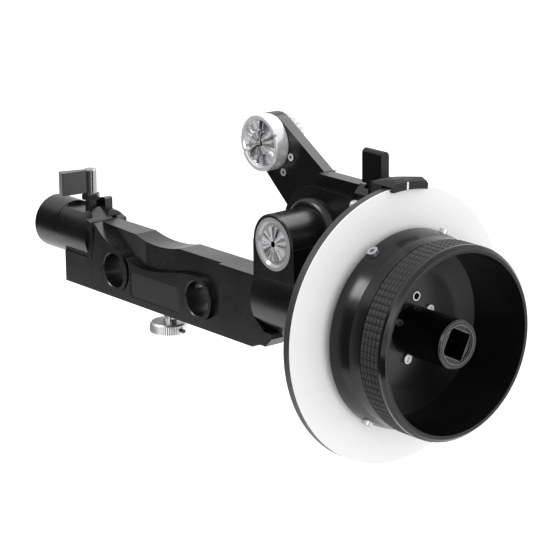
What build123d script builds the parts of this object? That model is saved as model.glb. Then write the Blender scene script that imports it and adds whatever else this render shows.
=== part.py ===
from build123d import *
from math import acos, atan2, cos, degrees, pi, radians, sin, sqrt, tan
import os

# A follow focus unit: a bridge clamped on two support rods, a gearbox with a hand wheel and a
# marking disk, a gear train out to a geared lens drive on a swing arm, and a lever clamp.
# Frame: origin midway between the rod bores on the bridge's front face, +X along the bridge
# to the hand wheel, +Y along the rods, away from the operator, +Z up. Millimetres.

# ---- clearances ----
running_fit = 0.05      # radial, shaft in bush
seat_gap = 0.05         # between fixed faces that curve round each other
free_gap = 0.3          # between parts that pass each other
socket_depth_share = 0.6  # depth of a hex socket in its screw head

# ---- support rods and bridge bar ----
rod_diameter = 15.0
rod_spacing = 60.0
bar_left = 67.3
bar_right = 69.0
bar_above = 19.0
bar_below = 12.3
bar_depth = 20.0
web_depth = 13.6
web_bottom = 9.4
dip_half_width = 16.0
dip_depth = 2.0
boss_radius = 10.0      # raised ring round each rod bore
groove_width = 2.2      # groove beside the left ring, at its head
groove_middle_width = 1.6
recess_depth = 2.0
recess_deep_end = 4.6   # the recess deepens towards the left
recess_low = 5.6        # lowest height of the recess's edge at mid length
recess_left = 43.6
recess_right = 46.0
recess_right_low = -3.0
bore_chamfer = 0.45
plate_length = 35.0
plate_height = 11.2
plate_centre_z = -3.6
plate_pocket_depth = 0.75
plate_thickness = 0.5
plate_corner = 1.8
plate_gap = 0.08
ledge_z = 2.0           # the end housing stands on this ledge
ledge_right = 45.9
nose_right = 80.5
nose_bottom = 10.3
nose_depth = 9.0
nose_top = 4.1
nose_step_x = 67.8
nose_chamfer = 4.0
gusset_right = 75.5
gusset_top = 1.4
bar_screw_radius = 1.5
bar_screw_head = 2.75
bar_screw_head_height = 3.0
end_gap_corner_x = -43.4  # thin tapered gap between the bar and the end housing's flange
end_gap_corner_z = 16.0
end_gap_bottom = 3.0
end_gap_depth = 3.0

# ---- hand wheel axis, gearbox ----
wheel_y = 17.6
wheel_z = 9.55
gearbox_radius = 19.4
chamber_radius = 11.2
chamber_back = 26.0
hub_pocket_front = 26.9
gearbox_end = 128.0
gearbox_left_wall = 3.0
drive_x = 80.3          # axis of the cross shaft, the output shaft and the arm
block_half_width = 12.9
block_centre_x = 80.8
boss_outer_radius = 12.6
boss_front = 1.0
boss_flare = 3.5
socket_recess_radius = 11.35
socket_recess_depth = 2.2
socket_dish_radius = 9.6
socket_dish_depth = 1.0
socket_petal_radius = 7.4
socket_petal_circle = 5.2
socket_petal_count = 12
socket_petal_groove = 3.6
socket_hole_radius = 1.2
end_cap_thickness = 3.0
end_cap_screw_circle = 15.5
end_cap_screw_radius = 1.25

# ---- gears ----
gear_module = 0.8
cross_teeth = 16
transfer_teeth = 12
output_teeth = 21
drive_teeth = 40        # one tooth each 9 degrees, so the train stays in mesh at the arm's stops
first_idler_teeth = 14
second_idler_teeth = 13
lens_teeth = 29
pressure_angle = radians(25)
addendum = 0.9
dedendum = 1.15
tooth_play = 0.1        # taken off each tooth's thickness
bevel_module = 0.8
bevel_teeth = 18
bevel_inner_share = 0.62
bevel_hub_length = 3.0
spur_front = 4.3
spur_width = 4.2
slot_margin = 0.5
rear_gear_front = 36.7
rear_gear_width = 3.7

# ---- shafts and bearings ----
main_shaft_radius = 5.0
main_shaft_end_radius = 3.0
main_shaft_left = 84.0
main_shaft_shoulder_x = 98.6
cross_shaft_radius = 2.5
output_shaft_radius = 3.0
lens_shaft_radius = 3.0
stud_radius = 1.8
bush_wall = 1.5
bush_length = 3.0
bearing_outer_radius = 11.0
bearing_width = 7.0
bearing_first_x = 100.0
bearing_second_x = 119.5
ball_radius = 1.36
ball_count = 9

# ---- pivot plate, arm ----
pivot_plate_front = 23.0
pivot_plate_thickness = 4.0
pivot_plate_radius = 19.0
pivot_plate_centre_z = 35.4
pivot_plate_top = 54.5
pivot_plate_right = 103.7
arm_front = 31.0
arm_thickness = 5.0
arm_hub_front = 28.0
arm_hub_radius = 19.0
arm_end_radius = 12.3
arm_angle = 139.0       # direction of the lens drum from the pivot, from +X towards +Z
arm_edge_angle = 148.2  # direction of the arm's straight edges
arm_top = 59.2
arm_seam_x = 79.3
sleeve_radius = 9.0
pivot_nut_radius = 11.0
pivot_nut_thickness = 2.6
stud_seat_depth = 4.0
arm_screw_places = [(57.1, 61.8), (52.1, 54.5)]
arm_screw_radius = 1.0
arm_screw_head_radius = 1.6
plate_screw_y = 24.4
plate_screw_z = 51.0
plate_screw_radius = 1.0
plate_screw_head_radius = 2.2
plate_screw_head = 3.2
lock_block_back = 33.9
lock_block_low = 53.3
lock_column_left = 99.8
lock_column_low = 40.0
lock_base_back = 34.0
lock_base_top = 59.5
lock_base_right = 116.4
lock_base_front = 24.8
lock_base_bottom = 53.8
lock_base_chamfer_low = 56.0
lock_base_chamfer_back = 28.0
lock_slot_front = 26.9
lock_slot_back = 33.2
tab_left = 104.7
tab_right = 116.3
tab_front = 28.0
tab_thickness = 4.2
tab_top = 74.2
tab_pin_y = 30.1
tab_pin_z = 56.4
tab_pin_radius = 1.0
tab_tongue_half = 3.2
tab_bottom = 60.2

# ---- lens drum ----
drum_front = 24.5
drum_radius = 12.1
drum_face_radius = 10.4
drum_hub_radius = 5.2
drum_hub_back = 28.0
drum_ribs = 24

# ---- hand wheel and marking disk ----
disk_radius = 56.3
disk_front = 138.8
disk_thickness = 3.9
disk_white_thickness = 0.5
wheel_base_radius = 36.4
wheel_wide_x = 143.4
wheel_wide_radius = 40.4
wheel_shoulder_x = 148.5
wheel_shoulder_radius = 39.85
wheel_crease_x = 153.2
wheel_crease_radius = 38.9
wheel_flare_x = 159.0
wheel_flare_radius = 38.7
wheel_floor_x = 145.0
wheel_floor_radius = 35.2
wheel_mouth_x = 172.5
wheel_mouth_radius = 36.2
grip_radius = 39.2
grip_right = 169.8
grip_seat_radius = 37.3
rim_chamfer = 1.4
hub_radius = 9.9
hub_mouth_radius = 7.8
hub_square = 11.2
hub_square_turn = -27.0
hub_socket_depth = 15.0
hub_counterbore = 1.0
spigot_radius = 7.0
shaft_flange_radius = 14.0
shaft_flange_thickness = 3.2
floor_screw_circle = 11.9
floor_screw_radius = 1.9
floor_screw_turns = (33.0, 147.0, 261.0)
floor_screw_shank = 1.0
floor_screw_head = 1.1
eyelet_circle = 13.4      # light ring round a blind hole in the wheel's floor
eyelet_turn = 76.0
eyelet_radius = 1.9
eyelet_hole_radius = 1.4
eyelet_hole_depth = 3.0
eyelet_height = 0.3
radial_screw_turns = (65.0, 120.0, 235.0, 290.0)
radial_screw_radius = 2.2
radial_screw_out = 41.6
radial_screw_seat = 36.4
radial_screw_x = 146.0
radial_screw_hex = 2.0
radial_screw_hex_depth = 1.2

# ---- index ----
index_width_angle = 18.6
index_angle = 86.4      # from +Y towards +Z
index_end_angle = 6.6      # half angle at the chamfered upper corners
index_top_angle = 4.0
index_thickness = 2.7      # of the block outside the disk's rim
index_disk_gap = 1.0       # radial, disk to block
index_lip_height = 1.9     # the lip in front of the disk, inwards from the gap
index_leg_height = 8.3     # the leg behind the disk, inwards from the gap
index_overhang = 2.4       # the block's front beyond the disk's face
index_lip_gap = 0.5
index_back_gap = 0.8
index_back_drop = 3.2      # the back edge below the block's top
index_back_bevel = 1.5
index_front_drop = 1.4
index_front_bevel = 1.6
index_dip_radius = 8.0
index_dip_depth = 0.8
index_ring_outer = 23.6
index_ring_left = 121.6
index_arm_half_width = 5.5
index_line_angle = 88.0
index_line_width = 0.9
index_line_margin = 0.1
index_line_depth = 0.3

# ---- left end housing and clamp lever ----
end_axis_y = 11.0
end_axis_z = 10.05
end_radius = 12.24
end_left = 89.2
end_right = 49.5
flange_right = 46.0
flange_top = 18.4
flange_depth = 12.5
ramp_left = 56.5
accessory_bore_end = 52.0
accessory_bore_radius = 6.05
lever_x = -61.4
lever_y = 11.0
spot_face_radius = 8.6
spot_face_z = 20.5
collar_across_flats = 7.3
collar_neck_radius = 2.6
collar_bottom = 25.2
collar_top = 28.0
lever_hub_radius = 2.95
lever_hub_top = 39.2
wing_bottom = 28.4
wing_top = 38.9
wing_reach = 14.4
wing_end_thickness = 5.4
wing_root_thickness = 2.4
wing_direction = -103.5
clamp_screw_radius = 2.0
clamp_screw_bottom = 18.4
ear_front = 15.5
ear_back = 19.5
ear_outline = [(-66.0, 12.0), (-66.0, 21.8), (-64.5, 24.2), (-57.6, 25.9), (-56.6, 25.2),
               (-56.6, 20.3), (-51.1, 19.8), (-46.0, 18.0), (-46.0, 12.0)]
flange_chamfer = 0.8

# ---- thumb screw ----
thumb_y = 7.7
thumb_radius = 8.5
thumb_top = 17.9
thumb_bottom = 23.0
thumb_knurls = 54
thumb_stem_radius = 1.5
clamp_bar_bottom = 2.9
clamp_bar_height = 5.4
clamp_bar_front = 5.2
clamp_bar_back = 10.2
clamp_bar_half = 25.2
clamp_travel = 0.5

# ---- sizes that follow ----
rod_radius = rod_diameter / 2 + running_fit
output_z = wheel_z + gear_module * (cross_teeth + 2 * transfer_teeth + output_teeth) / 2
transfer_z = wheel_z + gear_module * (cross_teeth + transfer_teeth) / 2
bevel_radius = bevel_module * bevel_teeth / 2
arm_turn = radians(arm_angle)
first_idler_reach = gear_module * (drive_teeth + first_idler_teeth) / 2
second_idler_reach = first_idler_reach + gear_module * (first_idler_teeth + second_idler_teeth) / 2
lens_reach = second_idler_reach + gear_module * (second_idler_teeth + lens_teeth) / 2
arm_back = arm_front + arm_thickness
pivot_plate_back = pivot_plate_front + pivot_plate_thickness
disk_back = disk_front - disk_thickness
index_left = gearbox_end
index_right = disk_front + index_overhang
index_clear_radius = disk_radius + index_disk_gap
index_outer = index_clear_radius + index_thickness
index_lip_radius = index_clear_radius - index_lip_height
index_leg_radius = index_clear_radius - index_leg_height
index_lip_left = disk_front + index_lip_gap
index_back_radius = index_outer - index_back_drop
index_front_radius = index_outer - index_front_drop


# ---- helpers ----
def facing_x(x, y=0.0, z=0.0):
    """Plane across the X axis: local x is +Y, local y is +Z, normal +X."""
    return Plane(origin=(x, y, z), x_dir=(0, 1, 0), z_dir=(1, 0, 0))


def facing_front(y, x=0.0, z=0.0):
    """Plane across the Y axis as seen from the front: local x is +X, local y is +Z."""
    return Plane(origin=(x, y, z), x_dir=(1, 0, 0), z_dir=(0, -1, 0))


def facing_up(z, x=0.0, y=0.0):
    """Plane across the Z axis: local x is +X, local y is +Y."""
    return Plane((x, y, z))


def save(builder, name):
    """Label a finished piece and write it."""
    builder.part.label = name
    export_step(builder.part, f"parts/{name}.step")


def rod(plane, radius, length, mode=Mode.ADD):
    """Round bar standing on a plane, along its normal."""
    with BuildSketch(plane) as section:
        Circle(radius)
    extrude(section.sketch, amount=length, mode=mode)


def tube(plane, outer, inner, length, mode=Mode.ADD):
    """Round tube standing on a plane, along its normal."""
    with BuildSketch(plane) as section:
        Circle(outer)
        Circle(inner, mode=Mode.SUBTRACT)
    extrude(section.sketch, amount=length, mode=mode)


def block(low, high, mode=Mode.ADD):
    """Box between two corners."""
    with BuildSketch(facing_up(low[2], (low[0] + high[0]) / 2, (low[1] + high[1]) / 2)) as base:
        Rectangle(high[0] - low[0], high[1] - low[1])
    extrude(base.sketch, amount=high[2] - low[2], mode=mode)


def prism(plane, points, length, mode=Mode.ADD):
    """Straight-sided outline extruded along the plane's normal."""
    with BuildSketch(plane) as base:
        with BuildLine():
            Polyline(*points, close=True)
        make_face()
    extrude(base.sketch, amount=length, mode=mode)


def lathe(plane, points, mode=Mode.ADD):
    """Turned profile: points are (place along the plane's x, radius) about that x axis."""
    with BuildSketch(plane) as profile:
        with BuildLine():
            Polyline(*points, close=True)
        make_face()
    revolve(profile.sketch, axis=Axis(plane.origin, plane.x_dir), mode=mode)


def axis_x(y=wheel_y, z=wheel_z):
    """Lathe plane for an axis along X."""
    return Plane(origin=(0, y, z), x_dir=(1, 0, 0), z_dir=(0, -1, 0))


def axis_y(x, z):
    """Lathe plane for an axis along Y."""
    return Plane(origin=(x, 0, z), x_dir=(0, 1, 0), z_dir=(1, 0, 0))


def axis_z(x, y):
    """Lathe plane for an axis along Z."""
    return Plane(origin=(x, y, 0), x_dir=(0, 0, 1), z_dir=(0, 1, 0))


def polar(radius, angle, centre=(0.0, 0.0)):
    """Point at an angle in degrees round a centre."""
    turn = radians(angle)
    return (centre[0] + radius * cos(turn), centre[1] + radius * sin(turn))


def involute(angle):
    """Involute function of a pressure angle."""
    return tan(angle) - angle


def gear_outline(teeth, module, phase, scale=1.0):
    """Outline points of an involute gear, a tooth centred at phase degrees."""
    pitch = teeth * module / 2
    base = pitch * cos(pressure_angle)
    root = pitch - dedendum * module
    tip = pitch + addendum * module
    radii = [root, (root + pitch) / 2, pitch, (pitch + tip) / 2, tip]
    flank = []
    for radius in radii:
        roll = acos(min(1.0, base / radius))
        half = pi / (2 * teeth) - tooth_play / (2 * pitch) + involute(pressure_angle) - involute(roll)
        flank.append((radius * scale, degrees(half)))
    points = []
    for tooth in range(teeth):
        centre = phase + 360 * tooth / teeth
        points += [polar(radius, centre - half) for radius, half in flank]
        points += [polar(radius, centre + half) for radius, half in reversed(flank)]
    return points


def meshed_phase(phase, teeth, other_teeth, direction):
    """Phase of a gear that meshes with another one, which lies in the given direction."""
    pitch = 360 / teeth
    other_pitch = 360 / other_teeth
    return direction + 180 + other_pitch * (0.5 - (phase - direction) / pitch)


def spur(plane, teeth, phase, width, bore):
    """Spur gear with a bore, standing on a plane."""
    with BuildSketch(plane) as outline:
        with BuildLine():
            Polyline(*gear_outline(teeth, gear_module, phase), close=True)
        make_face()
        Circle(bore, mode=Mode.SUBTRACT)
    extrude(outline.sketch, amount=width)


def hex_socket(plane, across_flats, depth):
    """Hexagonal socket sunk against the plane's normal."""
    with BuildSketch(plane) as socket:
        RegularPolygon(across_flats / 2, 6, major_radius=False)
    extrude(socket.sketch, amount=-depth, mode=Mode.SUBTRACT)


def arm_place(reach):
    """Centre (x, z) at a distance from the pivot along the arm."""
    return (drive_x + reach * cos(arm_turn), output_z + reach * sin(arm_turn))


os.makedirs("parts", exist_ok=True)

# ======== bridge ========

# Screws up through the bar: one into the gearbox wall, two into the end housing's flange.
gearbox_screw_places = [(71.8, 5.0, -nose_bottom, -1.5)]
flange_screw_places = [(-48.9, 4.2, -bar_below, 8.0), (-48.9, 10.2, -bar_below, 8.0)]
bar_screw_places = gearbox_screw_places + flange_screw_places

# The front recess: its edge runs down round both bore rings and sags between them.
recess_edge_left = polar(boss_radius, 70, (-rod_spacing / 2, 0))
recess_foot_left = polar(boss_radius, -57, (-rod_spacing / 2, 0))
groove_middle = polar(boss_radius + groove_middle_width, -8, (-rod_spacing / 2, 0))
groove_head = polar(boss_radius + groove_width, 38, (-rod_spacing / 2, 0))
recess_foot_right = polar(boss_radius, -58, (rod_spacing / 2, 0))
with BuildPart() as recess_tool:
    with BuildSketch(facing_front(recess_deep_end)) as recess_outline:
        with BuildLine():
            Line((-recess_left, bar_above), (recess_right, bar_above))
            Line((recess_right, bar_above), (recess_right, recess_right_low))
            Line((recess_right, recess_right_low), recess_foot_right)
            CenterArc((rod_spacing / 2, 0), boss_radius, -58, 148)
            Spline(
                (rod_spacing / 2, boss_radius),
                (0.0, recess_low),
                groove_head,
                tangents=((-1, 0), (-1, 0.45)),
            )
            ThreePointArc(groove_head, groove_middle, recess_foot_left)
            CenterArc((-rod_spacing / 2, 0), boss_radius, -57, 127)
            ThreePointArc(recess_edge_left, (-35.8, 13.2), (-recess_left, bar_above))
        make_face()
    extrude(amount=recess_deep_end)
    # its floor slopes, deepest at the left
    with BuildSketch(facing_up(-bar_below)) as floor_plan:
        with BuildLine():
            Polyline(
                (-bar_left, 0),
                (bar_right, 0),
                (bar_right, recess_depth),
                (-8.0, recess_depth),
                (-recess_left, recess_deep_end),
                (-bar_left, recess_deep_end),
                close=True,
            )
        make_face()
    extrude(amount=bar_below + bar_above, mode=Mode.INTERSECT)

with BuildPart() as bridge_bar:
    with BuildSketch(facing_front(bar_depth)) as bar_outline:
        with BuildLine():
            Polyline(
                (dip_half_width, bar_above),
                (bar_right, bar_above),
                (bar_right, gusset_top),
                (gusset_right, -nose_top),
                (nose_right, -nose_top),
                (nose_right, nose_chamfer - nose_bottom),
                (nose_right - nose_chamfer, -nose_bottom),
                (nose_step_x, -nose_bottom),
                (nose_step_x, -bar_below),
                (-bar_left, -bar_below),
                (-bar_left, ledge_z),
                (-ledge_right, ledge_z),
                (-ledge_right, bar_above),
                (-dip_half_width, bar_above),
            )
            ThreePointArc(
                (-dip_half_width, bar_above),
                (0, bar_above - dip_depth),
                (dip_half_width, bar_above),
            )
        make_face()
    extrude(amount=bar_depth)
    # the back is milled away behind the upper web
    block((-ledge_right, web_depth, web_bottom), (bar_right, bar_depth, bar_above), Mode.SUBTRACT)
    # the nose is a lip at the front only, and carries the gearbox in a round seat
    block((bar_right, nose_depth, -bar_below), (nose_right, bar_depth, bar_above), Mode.SUBTRACT)
    rod(facing_x(bar_right, wheel_y, wheel_z), gearbox_radius + seat_gap,
        nose_right - bar_right + 1, Mode.SUBTRACT)
    add(recess_tool.part, mode=Mode.SUBTRACT)
    # tapered gap beside the end housing's flange
    prism(facing_front(end_gap_depth), [(-ledge_right, bar_above),
                                        (end_gap_corner_x, end_gap_corner_z),
                                        (-ledge_right, end_gap_bottom)],
          end_gap_depth + 1, Mode.SUBTRACT)
    # pocket of the name plate
    with BuildSketch(facing_front(0, 0, plate_centre_z)):
        RectangleRounded(plate_length, plate_height, plate_corner)
    extrude(amount=-plate_pocket_depth, mode=Mode.SUBTRACT)
    # rod bores with a light chamfer at both mouths
    for side in (-1, 1):
        bore_x = side * rod_spacing / 2
        rod(facing_front(bar_depth, bore_x), rod_radius, bar_depth, Mode.SUBTRACT)
        lathe(axis_y(bore_x, 0), [(0, 0), (0, rod_radius + bore_chamfer),
                                  (bore_chamfer, rod_radius), (bore_chamfer, 0)], Mode.SUBTRACT)
        lathe(axis_y(bore_x, 0), [(bar_depth, 0), (bar_depth, rod_radius + bore_chamfer),
                                  (bar_depth - bore_chamfer, rod_radius),
                                  (bar_depth - bore_chamfer, 0)], Mode.SUBTRACT)
    # slot of the clamp bar, open at the back, and the thumb screw's hole
    block((-clamp_bar_half - free_gap, clamp_bar_front - free_gap,
           clamp_bar_bottom - clamp_travel - free_gap),
          (clamp_bar_half + free_gap, bar_depth, clamp_bar_bottom + clamp_bar_height + free_gap),
          Mode.SUBTRACT)
    rod(facing_up(-bar_below, 0, thumb_y), thumb_stem_radius + running_fit,
        bar_below + clamp_bar_bottom, Mode.SUBTRACT)
    for x, y, head_z, tip_z in bar_screw_places:
        rod(facing_up(head_z, x, y), bar_screw_head + running_fit, bar_screw_head_height,
            Mode.SUBTRACT)
        rod(facing_up(head_z, x, y), bar_screw_radius + running_fit, tip_z - head_z,
            Mode.SUBTRACT)
save(bridge_bar, "bridge_bar")

with BuildPart() as name_plate:
    plate_back = plate_pocket_depth
    with BuildSketch(facing_front(plate_back, 0, plate_centre_z)):
        RectangleRounded(plate_length - 2 * plate_gap, plate_height - 2 * plate_gap,
                         plate_corner - plate_gap)
    extrude(amount=plate_thickness)
save(name_plate, "name_plate")

with BuildPart() as bar_screws:
    for x, y, head_z, tip_z in bar_screw_places:
        rod(facing_up(head_z, x, y), bar_screw_head, bar_screw_head_height)
        rod(facing_up(head_z, x, y), bar_screw_radius, tip_z - head_z)
        hex_socket(facing_up(head_z, x, y).offset(bar_screw_head_height * socket_depth_share),
                   2.5, bar_screw_head_height * socket_depth_share)
save(bar_screws, "bar_screws")

# ======== left end housing ========

ramp_slope = (end_axis_z + end_radius - flange_top) / (ramp_left - flange_right)
with BuildPart() as end_housing:
    rod(facing_x(-end_left, end_axis_y, end_axis_z), end_radius, end_left - end_right)
    block((-end_right, 0, ledge_z), (-flange_right, flange_depth, flange_top + 2))
    block((-bar_left, 0.4, ledge_z), (-end_right, end_axis_y, end_axis_z))
    # it stands flat on the bar's ledge
    block((-bar_left, -5, -end_radius), (-flange_right + 5, 2 * end_radius + 5, ledge_z),
          Mode.SUBTRACT)
    # ramp down to the flange
    prism(facing_front(flange_depth), [(-flange_right + 1, flange_top - ramp_slope),
                                       (-ramp_left - 1, flange_top + ramp_slope
                                        * (ramp_left + 1 - flange_right)),
                                       (-ramp_left - 1, 40), (-flange_right + 1, 40)],
          flange_depth + 5, Mode.SUBTRACT)
    # chamfer down the flange's front corner
    prism(facing_up(ledge_z), [(-flange_right - flange_chamfer - 1, -1),
                               (-flange_right + 1, flange_chamfer + 1), (-flange_right + 1, -1)],
          flange_top, Mode.SUBTRACT)
    # seat of the clamp lever, and the rear clamp ear with its steps down to the bar
    rod(facing_up(spot_face_z, lever_x - 3.4, lever_y - 1.6), spot_face_radius, 8, Mode.SUBTRACT)
    prism(facing_front(ear_back), ear_outline, ear_back - ear_front)
    # bore for an accessory pin, open at the left
    rod(facing_x(-end_left, end_axis_y, end_axis_z), accessory_bore_radius,
        end_left - accessory_bore_end, Mode.SUBTRACT)
    lathe(axis_x(end_axis_y, end_axis_z), [(-end_left, 0), (-end_left, accessory_bore_radius + 0.8),
                                           (-end_left + 0.8, accessory_bore_radius),
                                           (-end_left + 0.8, 0)],
          Mode.SUBTRACT)
    # hole of the clamp lever, and the slit that lets the housing close
    rod(facing_up(spot_face_z - 6, lever_x, lever_y), clamp_screw_radius + running_fit, 8,
        Mode.SUBTRACT)
    prism(facing_front(end_axis_y - 3), [(-73.6, end_axis_z + 6.0), (-73.0, end_axis_z + 6.0),
                                         (-73.0, 30), (-73.6, 30)],
          end_radius + 5, Mode.SUBTRACT)
    for x, y, head_z, tip_z in flange_screw_places:
        rod(facing_up(ledge_z, x, y), bar_screw_radius + running_fit, tip_z + 0.5 - ledge_z,
            Mode.SUBTRACT)
save(end_housing, "end_housing")

with BuildPart() as lever_collar:
    # six-sided collar on a neck that stands on the seat
    with BuildSketch(facing_up(collar_bottom, lever_x, lever_y)):
        RegularPolygon(collar_across_flats / 2, 6, major_radius=False, rotation=12)
    extrude(amount=collar_top - collar_bottom)
    chamfer(lever_collar.edges().group_by(Axis.Z)[-1], 0.4)
    rod(facing_up(spot_face_z, lever_x, lever_y), collar_neck_radius, collar_bottom - spot_face_z)
    rod(facing_up(clamp_screw_bottom, lever_x, lever_y), clamp_screw_radius,
        spot_face_z - clamp_screw_bottom)
save(lever_collar, "lever_collar")

with BuildPart() as lever_hub:
    lathe(axis_z(lever_x, lever_y), [(collar_top, 0), (collar_top, lever_hub_radius),
                                     (lever_hub_top - 0.5, lever_hub_radius),
                                     (lever_hub_top, lever_hub_radius - 0.5), (lever_hub_top, 0)])
save(lever_hub, "lever_hub")

with BuildPart() as lever_wing:
    wing_plane = Plane(origin=(lever_x, lever_y, wing_bottom),
                       x_dir=Vector(*polar(1, wing_direction)), z_dir=(0, 0, 1))
    # it grows thicker from the hub outwards
    with BuildSketch(wing_plane):
        Polygon((0, -wing_root_thickness / 2), (wing_reach, -wing_end_thickness / 2),
                (wing_reach, wing_end_thickness / 2), (0, wing_root_thickness / 2), align=None)
    extrude(amount=wing_top - wing_bottom)
    chamfer(lever_wing.edges().filter_by(Axis.Z), 0.7)
    rod(facing_up(wing_bottom, lever_x, lever_y), lever_hub_radius + seat_gap,
        wing_top - wing_bottom, Mode.SUBTRACT)
save(lever_wing, "lever_wing")

# ======== thumb screw and clamp bar ========

with BuildPart() as thumb_wheel:
    tooth_step = 360 / thumb_knurls
    knurl_points = []
    for tooth in range(thumb_knurls):
        knurl_points.append(polar(thumb_radius, tooth * tooth_step))
        knurl_points.append(polar(thumb_radius - 0.35, (tooth + 0.5) * tooth_step))
    prism(facing_up(-thumb_bottom, 0, thumb_y), knurl_points, thumb_bottom - thumb_top)
    # bevelled top and bottom edges
    with BuildSketch(axis_z(0, thumb_y)) as wheel_section:
        with BuildLine():
            Polyline((-thumb_bottom, 0), (-thumb_bottom, thumb_radius - 1.0),
                     (-thumb_bottom + 1.0, thumb_radius + 0.1),
                     (-thumb_top - 1.0, thumb_radius + 0.1),
                     (-thumb_top, thumb_radius - 1.0), (-thumb_top, 0), close=True)
        make_face()
    revolve(axis=Axis((0, thumb_y, 0), (0, 0, 1)), mode=Mode.INTERSECT)
    rod(facing_up(-thumb_bottom, 0, thumb_y), thumb_stem_radius + seat_gap,
        thumb_bottom - thumb_top, Mode.SUBTRACT)
save(thumb_wheel, "thumb_wheel")

with BuildPart() as thumb_stem:
    rod(facing_up(-thumb_bottom + 0.6, 0, thumb_y), thumb_stem_radius,
        thumb_bottom - 0.6 + clamp_bar_bottom + clamp_bar_height - 0.4)
    rod(facing_up(-thumb_top, 0, thumb_y), 2.4, thumb_top - bar_below - seat_gap)
save(thumb_stem, "thumb_stem")

with BuildPart() as thumb_pins:
    rod(facing_up(-thumb_top, 5.6, thumb_y - 1.2), 1.05, 1.8)
    rod(facing_x(thumb_radius + 0.05, thumb_y, -(thumb_top + thumb_bottom) / 2), 0.85, 2.3)
save(thumb_pins, "thumb_pins")

with BuildPart() as clamp_bar:
    block((-clamp_bar_half, clamp_bar_front, clamp_bar_bottom),
          (clamp_bar_half, clamp_bar_back, clamp_bar_bottom + clamp_bar_height))
    for side in (-1, 1):
        rod(facing_front(clamp_bar_back, side * rod_spacing / 2), rod_radius + clamp_travel + 0.1,
            clamp_bar_back - clamp_bar_front, Mode.SUBTRACT)
    rod(facing_up(clamp_bar_bottom, 0, thumb_y), thumb_stem_radius + running_fit,
        clamp_bar_height, Mode.SUBTRACT)
save(clamp_bar, "clamp_bar")

# ======== gearbox ========

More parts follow.
